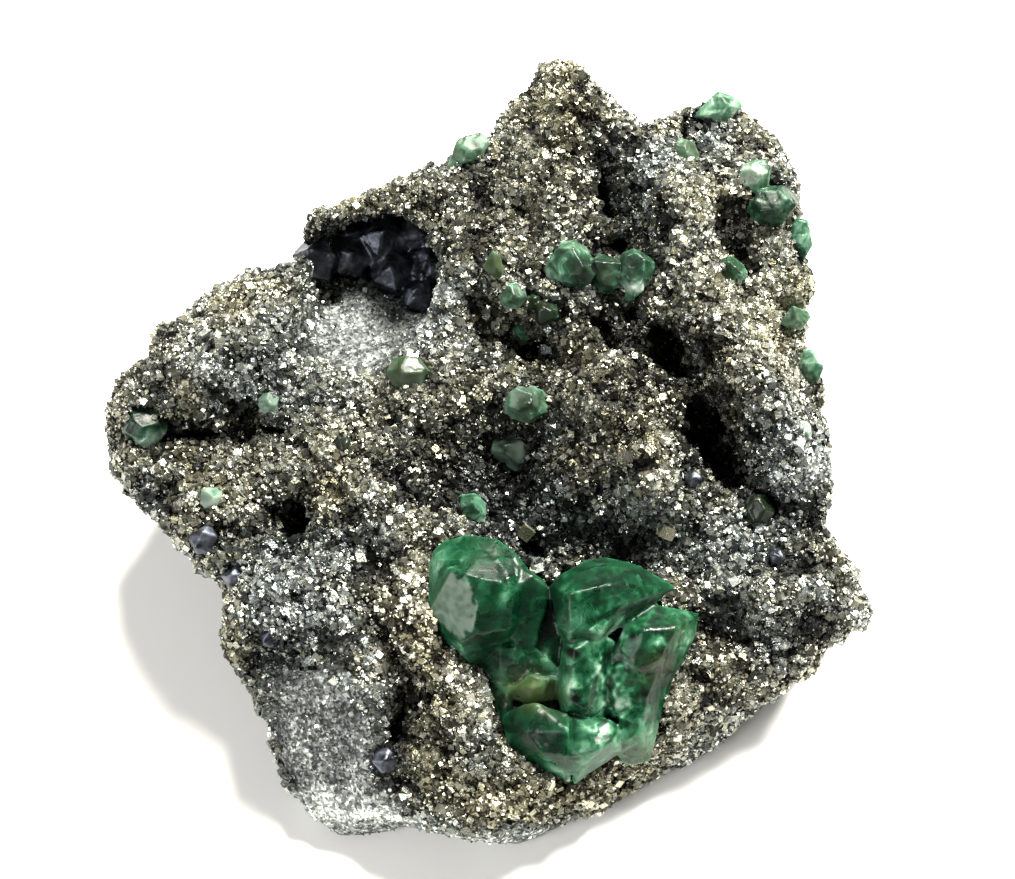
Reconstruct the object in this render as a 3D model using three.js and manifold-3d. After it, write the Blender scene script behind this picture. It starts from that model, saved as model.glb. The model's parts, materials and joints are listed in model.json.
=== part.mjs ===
// Fluorite on pyrite: a hand specimen of green fluorite crystals on a lump of pyrite-crusted ore,
// with dark galena crystals in a hollow of the rock.
//
// Millimetres, +Z up. The origin is the middle of the specimen's box, on the surface it rests on.
// The rock and its crystals are laid out in the display frame, in which the crystal face is seen
// square on: u to the right, v up the face, w out of it. That frame leans back by leanBack, and the
// rock rests on a flat broken base that lies baseDepth behind the display frame's origin.
import * as THREE from "three";
import { ConvexGeometry } from "three/addons/geometries/ConvexGeometry.js";
import { ImprovedNoise } from "three/addons/math/ImprovedNoise.js";
import { mergeVertices } from "three/addons/utils/BufferGeometryUtils.js";
import Module from "manifold-3d";

const wasm = await Module();
wasm.setup();

// Driving dimensions
const leanBack = THREE.MathUtils.degToRad(30);
const baseDepth = 35; // from the display origin straight back to the resting surface
const faceFall = 0.27; // how much w the general face loses for each millimetre up the face
const rimRound = 3.5; // how softly the face turns into the sides
const rockDetail = 12; // subdivisions of the icosahedron that the rock is shaped from
const faceShare = 0.66; // of its surface that goes to the crystal face
const sideShare = 0.3; // and to the sides
const faceReach = 0.975; // how far towards the outline the crystal face is taken
const rimDrop = 7; // and how far down over the rim
const socketGap = 0.35; // between a crystal and the socket it has grown in
const weldSize = 0.06; // corners that cutting leaves closer than this become one
const heart = new THREE.Vector3(-5, 0, -12); // inside the rock, in the display frame

const colours = {
  pyrite: 0x8a7f62,
  galena: 0x3a3d44,
  fluorite: 0x1f8a4c,
  paleFluorite: 0x8fc7a4,
};

// The display frame: a turn about X, with the resting surface at z 0
const display = new THREE.Group();
display.rotation.x = leanBack;
display.position.z = baseDepth * Math.cos(leanBack);
display.updateMatrixWorld(true);
const displayToRow = display.matrixWorld.clone();
const rowToDisplay = displayToRow.clone().invert();

// ---------------------------------------------------------------- helpers

const radians = THREE.MathUtils.degToRad;

// A repeatable number from 0 to 1 for a whole number
function chance(n) {
  const x = Math.sin(n * 127.1 + 311.7) * 43758.5453;
  return x - Math.floor(x);
}

// A closed geometry as a manifold-3d solid, placed by a matrix
function solidFrom(geometry, matrix = new THREE.Matrix4()) {
  const bare = new THREE.BufferGeometry();
  const source = geometry.index ? geometry.toNonIndexed() : geometry;
  bare.setAttribute("position", source.getAttribute("position").clone());
  bare.applyMatrix4(matrix);
  const merged = mergeVertices(bare, 1e-4);
  return new wasm.Manifold(
    new wasm.Mesh({
      numProp: 3,
      vertProperties: merged.attributes.position.array,
      triVerts: new Uint32Array(merged.index.array),
    }),
  );
}

// A manifold-3d solid as a geometry with flat faces
function geometryFrom(solid) {
  const { numProp, numVert, vertProperties, triVerts } = solid.getMesh();
  const positions = new Float32Array(numVert * 3);
  for (let i = 0; i < numVert; i++) {
    positions.set(vertProperties.subarray(i * numProp, i * numProp + 3), i * 3);
  }
  const geometry = new THREE.BufferGeometry();
  geometry.setAttribute("position", new THREE.BufferAttribute(positions, 3));
  geometry.setIndex(new THREE.BufferAttribute(new Uint32Array(triVerts), 1));
  const flat = geometry.toNonIndexed();
  flat.computeVertexNormals();
  return flat;
}

function material(colour, metalness, roughness) {
  return new THREE.MeshStandardMaterial({ color: colour, metalness, roughness, flatShading: true });
}

// ---------------------------------------------------------------- the rock's outline and relief

// The outline, seen square on, clockwise from the summit: [u, v]
const outline = [
  [9.6, 58.8], [13.8, 56.2], [16.2, 51.6], [19.4, 48.8], [24.5, 50.8], [30, 52], [35.4, 51.2], [39, 48.6],
  [42.4, 43], [44.2, 36], [44.8, 29], [45.8, 24.5], [43.6, 19.5], [44.6, 14], [46, 9.5], [46.6, 3],
  [47.8, -2], [47.2, -7.5], [45.8, -11.5], [49.6, -17], [53, -22.6], [53.4, -26.2], [47.2, -30],
  [40, -36], [33.8, -43.6], [28.4, -48.2], [21.4, -50.6], [13.8, -54.2], [7.4, -57.8], [1.8, -59.2],
  [-4, -57.4], [-8.5, -56], [-15.5, -57], [-22.5, -56.6], [-29.8, -54], [-32.6, -49.4], [-33, -43],
  [-37.4, -36], [-40.8, -29.3], [-40.8, -22.4], [-45, -17.4], [-53, -9.4], [-58.4, -3], [-59.4, 1.2],
  [-55.8, 8.4], [-50.2, 16], [-45, 21.2], [-36.8, 24.8], [-32.2, 25], [-31.6, 28], [-31, 31.6],
  [-25.6, 34.8], [-16.4, 38.8], [-8.8, 41.6], [-2.2, 44.8], [0.8, 48.4], [2.4, 52.4], [5.2, 56.2],
];

// Swells and hollows of the crystal face: place, reach along and across, turn of the long axis, rise
const relief = [
  { name: "summit ridge", at: [7.6, 47], reach: [15, 6.6], turn: 86, rise: 8 },
  { name: "summit's foot", at: [4, 33], reach: [10, 8], turn: 80, rise: 3 },
  { name: "groove right of the summit", at: [15.4, 36], reach: [10, 3.4], turn: 106, rise: -7 },
  { name: "second ridge", at: [24.4, 35], reach: [14, 5.5], turn: -73, rise: 7 },
  { name: "saddle behind the second ridge", at: [34, 46], reach: [4, 4], turn: 0, rise: -2.5 },
  { name: "top right shoulder", at: [36, 38], reach: [7, 9], turn: 0, rise: 3.5 },
  { name: "dip before the right ridge", at: [31.5, 26], reach: [4.5, 7], turn: 0, rise: -3.5 },
  { name: "right ridge", at: [35, 9], reach: [18, 4.6], turn: -62, rise: 9 },
  { name: "right ridge's outer slope", at: [44, 10], reach: [16, 5], turn: -80, rise: -3 },
  { name: "arch", at: [-17, 37], reach: [12, 3.5], turn: 22, rise: 4.5 },
  { name: "arch's left end", at: [-27, 32], reach: [4, 4], turn: 40, rise: 1 },
  { name: "wall right of the hollow", at: [-6, 22], reach: [13, 4.5], turn: 82, rise: 5 },
  { name: "near rim of the hollow", at: [-14, 6.5], reach: [9, 4], turn: 25, rise: 3 },
  { name: "left knob", at: [-42, 12], reach: [9, 6.5], turn: 30, rise: 8 },
  { name: "knob beside the hollow", at: [-33, 18], reach: [4.5, 7], turn: -10, rise: 5 },
  { name: "left groove", at: [-43, 0.8], reach: [13, 2.8], turn: 3, rise: -7.5 },
  { name: "left lower slope", at: [-46, -6], reach: [9, 4], turn: -38, rise: 3 },
  { name: "low ridge left of the middle", at: [-19, -6], reach: [13, 5], turn: -30, rise: 3.5 },
  { name: "left pit's funnel", at: [-31, -12], reach: [5.5, 4.5], turn: 60, rise: -6.5 },
  { name: "lower left lump", at: [-28, -24], reach: [9, 8], turn: -70, rise: 8 },
  { name: "pale block below it", at: [-26.5, -40], reach: [8, 6.5], turn: -60, rise: 5.5 },
  { name: "notch between them", at: [-33, -31], reach: [6, 2.2], turn: 15, rise: -3 },
  { name: "channel right of the block", at: [-15.5, -41], reach: [9, 3.5], turn: 72, rise: -6.5 },
  { name: "gold ridge", at: [-9.5, -32], reach: [15, 3.2], turn: -68, rise: 5 },
  { name: "gold ridge's foot", at: [2, -50.5], reach: [11, 3], turn: -6, rise: 2.5 },
  { name: "seat of the great cluster", at: [8, -32], reach: [11, 13], turn: 0, rise: -3.5 },
  { name: "middle basin", at: [0.5, -4], reach: [6, 9], turn: 10, rise: -7.5 },
  { name: "shelf under the upper cluster", at: [9, 24], reach: [10, 4], turn: 0, rise: 4 },
  { name: "drop below the shelf", at: [5, 14], reach: [8, 3.4], turn: -12, rise: -6.5 },
  { name: "middle ridge", at: [16, 4], reach: [14, 4.6], turn: -62, rise: 7 },
  { name: "dark slope over the cluster", at: [14, -15], reach: [13, 4.6], turn: -8, rise: -5 },
  { name: "bank right of the middle ridge", at: [26, -10], reach: [6, 3.5], turn: -40, rise: 2 },
  { name: "dip right of the cluster", at: [29, -26], reach: [5, 7], turn: 15, rise: -5 },
  { name: "lower right swell", at: [38, -22], reach: [9, 5], turn: 20, rise: 3.5 },
  { name: "right corner falls away", at: [51, -18], reach: [9, 9], turn: 0, rise: -4 },
];

// Broken faces of the sides and underside: the way the face looks in plan, its distance from the
// middle at base height, and how far it leans out as it rises. The display origin is over x 0, y 0.
const brokenFaces = [
  { name: "right", azimuth: 0, distance: 48.5, lean: 13 },
  { name: "right corner", azimuth: -22, distance: 52, lean: 15 },
  { name: "lower right wall", azimuth: -63, distance: 47, lean: -8 },
  { name: "front", azimuth: -90, distance: 53, lean: 20 },
  { name: "lower left slope", azimuth: -110, distance: 62.5, lean: -46 },
  { name: "under the left lobe", azimuth: 180, distance: 38, lean: 50 },
  { name: "back left", azimuth: 130, distance: 34.5, lean: 30 },
  { name: "back", azimuth: 92, distance: 51, lean: 20 },
  { name: "back under the arch", azimuth: 112, distance: 41, lean: 25 },
  { name: "back right", azimuth: 45, distance: 50.5, lean: 25 },
  { name: "right back", azimuth: 15, distance: 46, lean: 18 },
];

// The outline as a radius for each direction round the rock's heart
function outlineRadii(steps = 1440) {
  const corners = outline.map(([u, v]) => new THREE.Vector3(u, v, 0));
  const curve = new THREE.CatmullRomCurve3(corners, true, "centripetal");
  const polar = curve.getPoints(steps).map((p) => {
    const du = p.x - heart.x;
    const dv = p.y - heart.y;
    return { angle: Math.atan2(dv, du), radius: Math.hypot(du, dv) };
  });
  return polar.sort((a, b) => a.angle - b.angle);
}
const rimTable = outlineRadii();

function rimRadius(angle) {
  let low = 0;
  let high = rimTable.length - 1;
  if (angle <= rimTable[0].angle || angle >= rimTable[high].angle) return rimTable[0].radius;
  while (high - low > 1) {
    const middle = (low + high) >> 1;
    if (rimTable[middle].angle <= angle) low = middle;
    else high = middle;
  }
  const a = rimTable[low];
  const b = rimTable[high];
  const share = (angle - a.angle) / Math.max(b.angle - a.angle, 1e-9);
  return a.radius + share * (b.radius - a.radius);
}

// The height of the crystal face at (u, v), before the knobs of the crust
function faceHeight(u, v) {
  let w = -faceFall * v;
  for (const { at, reach, turn, rise } of relief) {
    const c = Math.cos(radians(turn));
    const s = Math.sin(radians(turn));
    const along = ((u - at[0]) * c + (v - at[1]) * s) / reach[0];
    const across = (-(u - at[0]) * s + (v - at[1]) * c) / reach[1];
    w += rise * Math.exp(-(along * along + across * across));
  }
  return w;
}

const noise = new ImprovedNoise();

// Knobs of the pyrite crust: three sizes of lump, in millimetres
function knobs(p) {
  return (
    2.3 * noise.noise(p.x / 9 + 3.1, p.y / 9 + 7.7, p.z / 9 + 1.3) +
    1.7 * noise.noise(p.x / 5.2 + 11.4, p.y / 5.2 + 2.9, p.z / 5.2 + 5.5) +
    0.8 * noise.noise(p.x / 3.1 + 6.2, p.y / 3.1 + 9.8, p.z / 3.1 + 4.4)
  );
}

// The larger of two distances, rounded where they meet
function softMax(a, b, radius) {
  const blend = Math.max(radius - Math.abs(a - b), 0) / radius;
  return Math.max(a, b) + (blend * blend * radius) / 4;
}

const facePlanes = brokenFaces.map(({ azimuth, distance, lean }) => {
  const a = radians(azimuth);
  const tilt = radians(lean);
  const out = new THREE.Vector3(Math.cos(a) * Math.cos(tilt), Math.sin(a) * Math.cos(tilt), -Math.sin(tilt));
  const foot = new THREE.Vector3(Math.cos(a) * distance, Math.sin(a) * distance, 0);
  return new THREE.Plane().setFromNormalAndCoplanarPoint(out, foot);
});

// How far a point of the display frame is outside the rock, negative inside
function rockDistance(p) {
  const du = p.x - heart.x;
  const dv = p.y - heart.y;
  const beyondRim = Math.hypot(du, dv) - rimRadius(Math.atan2(dv, du));
  const aboveFace = (p.z - faceHeight(p.x, p.y)) * 0.9;
  let beyondBroken = -Infinity;
  const row = p.clone().applyMatrix4(displayToRow);
  for (const plane of facePlanes) {
    beyondBroken = softMax(beyondBroken, plane.distanceToPoint(row), 1.2);
  }
  beyondBroken += 0.4 * knobs(row) + 1.6 * noise.noise(row.x / 15 + 2.2, row.y / 15 + 8.8, row.z / 11 + 0.7);
  const crust = softMax(aboveFace, beyondRim, rimRound) - knobs(p);
  return softMax(crust, beyondBroken, 1.5);
}

// The height of the rock's surface at (u, v), found from above
function surfaceHeight(u, v) {
  const point = new THREE.Vector3(u, v, 40);
  while (point.z > -baseDepth && rockDistance(point) > 0) point.z -= 0.2;
  return point.z;
}

// Where the way from a point inside the rock to a point outside it meets the surface
function surfaceBetween(inside, outside) {
  const steps = 40;
  const point = new THREE.Vector3();
  let near = 0;
  let far = 1;
  for (let n = 1; n <= steps; n++) {
    if (rockDistance(point.lerpVectors(inside, outside, n / steps)) > 0) {
      far = n / steps;
      break;
    }
    near = n / steps;
  }
  for (let n = 0; n < 12; n++) {
    const middle = (near + far) / 2;
    if (rockDistance(point.lerpVectors(inside, outside, middle)) > 0) far = middle;
    else near = middle;
  }
  return point.lerpVectors(inside, outside, near);
}

// Where the crystal face gives way to the side: the outermost place, in a direction, that is not yet
// far down over the rim
function faceEdge(rim) {
  const edge = new THREE.Vector3();
  for (let reach = faceReach; reach > 0.6; reach -= 0.01) {
    edge.lerpVectors(heart, rim, reach);
    edge.z = surfaceHeight(edge.x, edge.y);
    if (edge.z > faceHeight(edge.x, edge.y) - rimDrop) break;
  }
  return edge;
}

// The rock's skin, from an icosahedron: its upper part is spread over the crystal face, seen from
// above, the next part round the broken sides, and the foot is left below the resting surface
function rockGeometry() {
  const ball = new THREE.IcosahedronGeometry(1, rockDetail);
  const place = ball.getAttribute("position");
  for (let i = 0; i < place.count; i++) {
    const angle = Math.atan2(place.getY(i), place.getX(i));
    const share = (1 - place.getZ(i)) / 2;
    const out = new THREE.Vector3(Math.cos(angle), Math.sin(angle), 0);
    const rim = out.clone().multiplyScalar(rimRadius(angle)).add(heart);
    const base = -baseDepth - Math.tan(leanBack) * rim.y;
    const edge = faceEdge(rim);
    const point = new THREE.Vector3();
    if (share < faceShare) {
      point.lerpVectors(heart, edge, Math.sqrt(share / faceShare));
      point.z = surfaceHeight(point.x, point.y);
    } else if (share < faceShare + sideShare) {
      const down = (share - faceShare) / sideShare;
      const target = rim.clone().addScaledVector(out, 12);
      target.z = THREE.MathUtils.lerp(edge.z - 0.5, base - 14, down);
      const start = heart.clone().setZ(THREE.MathUtils.lerp(heart.z, -baseDepth - 10, down));
      point.copy(surfaceBetween(start, target));
    } else {
      const inward = (share - faceShare - sideShare) / (1 - faceShare - sideShare);
      point.lerpVectors(rim, heart, 0.4 + 0.6 * inward);
      point.z = -baseDepth - Math.tan(leanBack) * point.y - 25;
    }
    place.setXYZ(i, point.x, point.y, point.z);
  }
  return ball;
}

// ---------------------------------------------------------------- hollows cut into the rock

// Pits and crevices: place, half sizes, turn in the face, depth of the middle below the face
const pits = [
  { name: "upper crevice", at: [24, 12.8], size: [6.4, 4.7, 12], turn: -45, sunk: 2 },
  { name: "lower crevice", at: [30, -0.8], size: [9.8, 4.4, 12], turn: -55, sunk: 2 },
  { name: "cleft right of the summit", at: [14.8, 37], size: [5.4, 2.1, 9], turn: 106, sunk: 1 },
  { name: "cleft's foot", at: [17, 29.4], size: [2.4, 2.2, 7], turn: 60, sunk: 0.5 },
  { name: "hole under the upper cluster", at: [3, 12.8], size: [3.6, 3, 8], turn: 60, sunk: 1 },
  { name: "gap left of the middle ridge", at: [14.2, 15.6], size: [5, 2.2, 8], turn: -70, sunk: 1 },
  { name: "gap above the upper crevice", at: [18.8, 18.8], size: [2.6, 2, 7], turn: 60, sunk: 1 },
  { name: "left pit", at: [-30.4, -11.6], size: [4.6, 3.4, 10], turn: 62, sunk: 1 },
  { name: "left groove", at: [-46, 0.6], size: [6.4, 2, 7], turn: 2, sunk: 1 },
  { name: "groove's right end", at: [-34.4, 1.4], size: [4, 1.7, 6], turn: -8, sunk: 0.5 },
  { name: "pocket in the left knob", at: [-35.4, 18], size: [1.6, 1.1, 3], turn: 50, sunk: 0 },
  { name: "notch under the lump", at: [-34, -28.6], size: [3, 1.8, 4], turn: 20, sunk: 0 },
  { name: "gap beside the pale block", at: [-15.6, -40.4], size: [4.6, 1.8, 6], turn: 72, sunk: 0.5 },
  { name: "void at the lower rim", at: [-3.4, -49.6], size: [3, 1.8, 5], turn: -35, sunk: 0.5 },
  { name: "dark hollow over the cluster", at: [3.4, -15.6], size: [4, 2.2, 5], turn: -20, sunk: 1 },
  { name: "pocket at the right shoulder", at: [35, 45.4], size: [1.8, 1.4, 4], turn: 20, sunk: 0 },
];

function pitSolid({ at, size, turn, sunk }, index) {
  const lump = new THREE.IcosahedronGeometry(1, 0);
  const place = lump.getAttribute("position");
  for (let i = 0; i < place.count; i++) {
    const p = new THREE.Vector3().fromBufferAttribute(place, i);
    p.multiplyScalar(1 + 0.32 * noise.noise(p.x * 1.7 + index * 3.3, p.y * 1.7 + 1.2, p.z * 1.7 + 8.1));
    place.setXYZ(i, p.x, p.y, p.z);
  }
  const w = faceHeight(at[0], at[1]) - sunk;
  const pose = new THREE.Matrix4().compose(
    new THREE.Vector3(at[0], at[1], w),
    new THREE.Quaternion().setFromAxisAngle(new THREE.Vector3(0, 0, 1), radians(turn)),
    new THREE.Vector3(...size),
  );
  return solidFrom(lump, displayToRow.clone().multiply(pose));
}

// The great hollow under the arch: its mouth on the face, and its floor, a plane that slopes down
// from the near rim and runs in under the arch
const hollowMouth = [
  [-31, 26], [-30.5, 14], [-27.5, 9.8], [-21, 9.4], [-17, 12], [-13.5, 16], [-10, 20.5], [-9, 26],
  [-10.5, 30.2], [-13.5, 32.8], [-18, 33.6], [-22.5, 32.4], [-26, 30.6], [-32, 30],
];
const hollowFloor = [
  [-29, 24, -18], [-28.5, 13, -9], [-27, 10.4, -6], [-20, 10.2, -6], [-15, 15, -10], [-10.5, 20, -17],
  [-10, 27, -22], [-12, 33, -25], [-17, 36, -27], [-22, 35, -26], [-30, 30, -23],
];

function greatHollow() {
  const corners = [
    ...hollowMouth.map(([u, v]) => new THREE.Vector3(u, v, 6)),
    ...hollowFloor.map(([u, v, w]) => new THREE.Vector3(u, v, w)),
  ];
  return solidFrom(new ConvexGeometry(corners), displayToRow);
}

// ---------------------------------------------------------------- crystals

// The corners of the solid that a set of planes encloses
function cornersOf(planes) {
  const corners = [];
  const target = new THREE.Vector3();
  for (let i = 0; i < planes.length; i++) {
    for (let j = i + 1; j < planes.length; j++) {
      for (let k = j + 1; k < planes.length; k++) {
        const [a, b, c] = [planes[i], planes[j], planes[k]];
        const bc = new THREE.Vector3().crossVectors(b.normal, c.normal);
        const det = a.normal.dot(bc);
        if (Math.abs(det) < 1e-6) continue;
        target.copy(bc).multiplyScalar(-a.constant);
        target.addScaledVector(new THREE.Vector3().crossVectors(c.normal, a.normal), -b.constant);
        target.addScaledVector(new THREE.Vector3().crossVectors(a.normal, b.normal), -c.constant);
        target.divideScalar(det);
        const inside = planes.every((plane) => plane.distanceToPoint(target) < 1e-6);
        const known = corners.some((corner) => corner.distanceTo(target) < 1e-3);
        if (inside && !known) corners.push(target.clone());
      }
    }
  }
  return corners;
}

// An octahedron, some of its corners cut by cube faces. cut is where the cube faces lie, as a share
// of the octahedron's corner distance, and cuts is how many there are. Growth leaves no two faces at
// quite the same distance, by up to uneven.
function cubicCrystal({ radius, cut = 0.64, cuts = 3, uneven = 0.25 }, seed) {
  const planes = [];
  let n = seed * 31;
  for (const x of [-1, 1]) {
    for (const y of [-1, 1]) {
      for (const z of [-1, 1]) {
        const distance = (radius / Math.sqrt(3)) * (1 - uneven * chance(n++));
        planes.push(new THREE.Plane(new THREE.Vector3(x, y, z).normalize(), -distance));
      }
    }
  }
  const corners = [[0, 0, 1], [1, 0, 0], [0, -1, 0], [-1, 0, 0], [0, 1, 0], [0, 0, -1]];
  for (const corner of corners.slice(0, cuts)) {
    planes.push(new THREE.Plane(new THREE.Vector3(...corner), -radius * cut * (1 - uneven * chance(n++))));
  }
  return new ConvexGeometry(cornersOf(planes));
}

const grown = []; // every convex crystal that the rock has a socket for

function joined(solids) {
  return solids.reduce((whole, next) => whole.add(next));
}

// A mesh made of crystals that have grown into each other
function addCrystals(name, shapes, look) {
  grown.push(...shapes);
  const one = joined(shapes.map((shape) => solidFrom(shape)));
  const geometry = shapes.length > 1 ? geometryFrom(one.simplify(weldSize)) : shapes[0];
  const mesh = new THREE.Mesh(geometry, look);
  mesh.name = name;
  display.add(mesh);
}

const fluoriteLook = material(colours.fluorite, 0, 0.15);
const paleLook = material(colours.paleFluorite, 0, 0.3);
const galenaLook = material(colours.galena, 0.9, 0.35);
const pyriteLook = material(colours.pyrite, 0.85, 0.4);

// The great cluster: crystals that have grown into each other, each by its corners in the display
// frame, from its crown down to its root in the rock
const greatCluster = {
  left: [
    [-10.5, -15.6, 8], [-9, -14.2, 8], [-5, -13.2, 9], [-1.5, -13.8, 10], [1, -15.6, 11],
    [2.4, -17.4, 11.5], [3.6, -20, 11], [3.6, -25, 10], [1.5, -28.5, 9], [-2.5, -30.5, 9],
    [-5.2, -31.8, 8.5], [-8, -30.6, 7.5], [-10.2, -28.6, 7], [-11, -24, 8.5], [-11, -17.5, 8],
    [-7.5, -18, 13.5], [-4, -22.4, 15.6], [-4.6, -26.6, 14.6], [-6.2, -27.8, 13.6], [-10.8, -24, 10.6],
    [-5.8, -18.4, 14.4], [-1, -19.4, 15.2], [0.8, -21.5, 14.5], [0.5, -26, 13], [-8, -17, 0], [3, -19, 0],
    [3, -27, 1], [-7, -28, 2],
  ],
  leftBlock: [
    [2, -17.6, 12], [3.6, -18.6, 12.4], [5.6, -20.2, 12], [5.8, -22, 12], [4.4, -25.5, 12], [4, -28.4, 11],
    [1.5, -29.5, 10.5], [0, -26, 12], [1.2, -20, 13.5],
    [1, -19, 0], [5, -20, 0], [4, -28, 1], [1, -29, 1],
  ],
  between: [
    [5, -20.6, 8.5], [6.6, -22, 9], [7.8, -28, 9], [7.4, -31.4, 9.5], [6, -32, 9.5], [3.8, -29, 9.5],
    [4.2, -24, 9], [5, -21, 0], [7, -24, 0], [7, -31, 1], [4.4, -29, 1],
  ],
  lowerLeft: [
    [-4.6, -31, 8], [-1, -29, 10.5], [3.6, -28.4, 10.8], [6.9, -31.6, 11], [6.8, -33, 10.6],
    [3.5, -32.6, 10.8], [-1, -33.8, 9.5], [-2.6, -33.4, 8.5], [-3, -30, 1], [3, -29, 1], [6, -32, 1],
    [-1, -33, 2],
  ],
  oliveBlock: [
    [0.4, -34.6, 10.5], [3.4, -32.4, 12.2], [6.8, -33, 12], [6.9, -36, 11], [3, -36.8, 11], [0.6, -36, 10],
    [3.4, -34.2, 13], [1, -34.4, 2], [6, -33, 2], [6, -36, 2], [1, -36, 2],
  ],
  neck: [
    [-2.6, -33.2, 8.5], [0.6, -33.6, 9.5], [1, -38.6, 10], [-1, -40, 9.5], [-2, -37, 8.5], [0, -35.4, 10.6],
    [-2, -33.6, 2], [1, -34, 2], [0, -39, 2],
  ],
  rightCrown: [
    [6, -20, 12], [7.4, -18.7, 11.5], [10.8, -16.8, 10.5], [13.4, -16.3, 10], [16.4, -17, 9.5],
    [18.6, -17.7, 9.5], [21, -19.2, 9], [23.6, -20.6, 8.5], [21, -22.4, 10], [18, -23.2, 11],
    [15.6, -24, 12.2], [12.6, -27.6, 13.6], [8, -28.4, 13.2], [6.7, -25.2, 13.2], [6.1, -22, 13],
    [8.2, -21, 16], [13.8, -19.6, 15.4], [15.4, -22.6, 15.2], [12.6, -26, 15.8], [8.6, -26, 15.6],
    [7, -20, 0], [17, -18, 0], [17, -23, 1], [8, -28, 1],
  ],
  middleBar: [
    [7.6, -27.6, 13], [7.2, -32, 13], [6.9, -35.2, 12.6], [7.4, -37.4, 12.4], [9, -38.4, 12],
    [11.2, -39.4, 11.8], [13.8, -38.2, 11.4], [13.2, -35.6, 11.6], [12.8, -32.6, 12], [13.8, -29.6, 12],
    [14.6, -27.6, 12], [12.4, -26.4, 14], [9, -28.4, 16.2], [8.8, -35.6, 15], [10.6, -36.8, 14.6],
    [12, -30, 15.2], [8, -29, 1], [13, -28, 1], [13, -37, 2], [8, -36, 2],
  ],
  rightWing: [
    [18.4, -23.6, 11], [20.4, -22.9, 10.6], [23, -23.4, 9.6], [26.8, -24.3, 8.2], [26.4, -27, 8.6],
    [25, -28.6, 9.2], [24.6, -31, 9.2], [22.6, -33.6, 9.6], [18, -34.4, 11.6], [14, -31.4, 12.4],
    [14.8, -28.4, 12.6], [16.4, -25.2, 12.4], [18.6, -26, 14.6], [23.4, -25.8, 12.8], [20.6, -30, 14.4],
    [17, -31.4, 14], [18, -25, 0], [25, -25, 1], [21, -33, 1], [15, -31, 1],
  ],
  rightMiddle: [
    [13, -32.6, 12.4], [15.4, -30.6, 13.4], [20.6, -31.6, 12.6], [23.4, -32.4, 9.4], [22.2, -35, 9.4],
    [21.4, -36.8, 9.4], [21.6, -38.4, 9.2], [18.4, -39.4, 12.2], [14.4, -38.2, 12.4], [13.2, -36, 12.2],
    [15.6, -34.4, 14.4], [19.2, -35, 13.4],
    [14, -33, 1], [21, -34, 1], [20, -38, 2], [15, -37, 2],
  ],
  bottomDark: [
    [-0.7, -39, 10], [1, -38.4, 11.2], [4, -37.8, 12.6], [8.6, -38, 13.4], [8.7, -43, 13.6],
    [8.6, -47.4, 11], [6.6, -46.4, 11], [4.4, -44.6, 11.6], [1.4, -44.4, 10.6], [0, -42.6, 10],
    [2.6, -39.8, 14], [8.2, -39.4, 15.6], [8.4, -43, 14.8], [4.6, -42.6, 14.2], [1, -39, 3], [8, -39, 3],
    [8, -45, 4], [2, -43, 4],
  ],
  bottomBright: [
    [8.7, -38, 13.4], [11.2, -39.6, 15.4], [14, -38.4, 13.6], [15.6, -39.6, 13], [16, -43, 11.6],
    [14.4, -44.2, 11.4], [11, -46.6, 11], [9.2, -47.8, 10.8], [8.8, -43, 14.8], [11.8, -42, 16.4],
    [14.4, -41, 15], [9, -39, 4], [15, -40, 4], [12, -45, 6],
  ],
  lowerRight: [
    [15.2, -38, 13.4], [18, -36.6, 13], [21.6, -37.4, 9.6], [20.8, -40.4, 9.4], [20.4, -42.6, 9],
    [20, -45, 8.4], [17.2, -45.6, 8.8], [15.4, -45, 9.4], [15.2, -41.4, 13], [18.2, -40.6, 12.4],
    [16, -38, 2], [20, -38, 2], [18.6, -44, 4],
  ],
};

addCrystals(
  "fluorite_great_cluster",
  Object.values(greatCluster).map((corners) => {
    return new ConvexGeometry(corners.map((corner) => new THREE.Vector3(...corner)));
  }),
  fluoriteLook,
);

// A crystal placed on the face: stand is how far its middle is above the rock's surface there, or
// above the surface at the foot of the group it belongs to
function placedShape({ at, stand, turn, stretch = [1, 1, 1], ...form }, seed, foot = at) {
  const shape = cubicCrystal(form, seed);
  const pose = new THREE.Matrix4().compose(
    new THREE.Vector3(at[0], at[1], surfaceHeight(foot[0], foot[1]) + stand),
    new THREE.Quaternion().setFromEuler(new THREE.Euler(...turn.map(radians))),
    new THREE.Vector3(...stretch),
  );
  return shape.applyMatrix4(pose);
}

// Groups of crystals grown into each other, by name: the group's foot on the face, and its crystals
const groups = {
  fluorite_upper_cluster: {
    foot: [13, 24],
    crystals: [
      { at: [9.2, 25.2], stand: 0.6, radius: 6.8, turn: [25, 35, 5], cuts: 5 },
      { at: [14.4, 24.4], stand: 0.3, radius: 4.8, turn: [60, 10, 25] },
      { at: [18.6, 25], stand: 0.3, radius: 4.8, turn: [10, 50, 30], cuts: 5 },
      { at: [18.6, 22.6], stand: 1, radius: 2.8, turn: [40, 20, 70], stretch: [1.3, 0.8, 1] },
    ],
  },
  fluorite_small_pair: {
    foot: [5.2, 19],
    crystals: [
      { at: [5.6, 18.4], stand: 1.2, radius: 3, turn: [15, 45, 50], cuts: 6 },
      { at: [4.4, 20.2], stand: 0.4, radius: 2.3, turn: [70, 30, 15] },
    ],
  },
  fluorite_right_pair: {
    foot: [40, 37.4],
    crystals: [
      { at: [37.2, 39.2], stand: 0.2, radius: 4.2, turn: [30, 20, 40], cuts: 5 },
      { at: [39.8, 35], stand: 0.6, radius: 6.2, turn: [15, 30, 8], stretch: [1.1, 0.85, 1], cuts: 5 },
    ],
  },
};
Object.entries(groups).forEach(([name, { foot, crystals }], g) => {
  const shapes = crystals.map((crystal, n) => placedShape(crystal, 5 * g + n + 3, foot));
  addCrystals(name, shapes, fluoriteLook);
});

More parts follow.
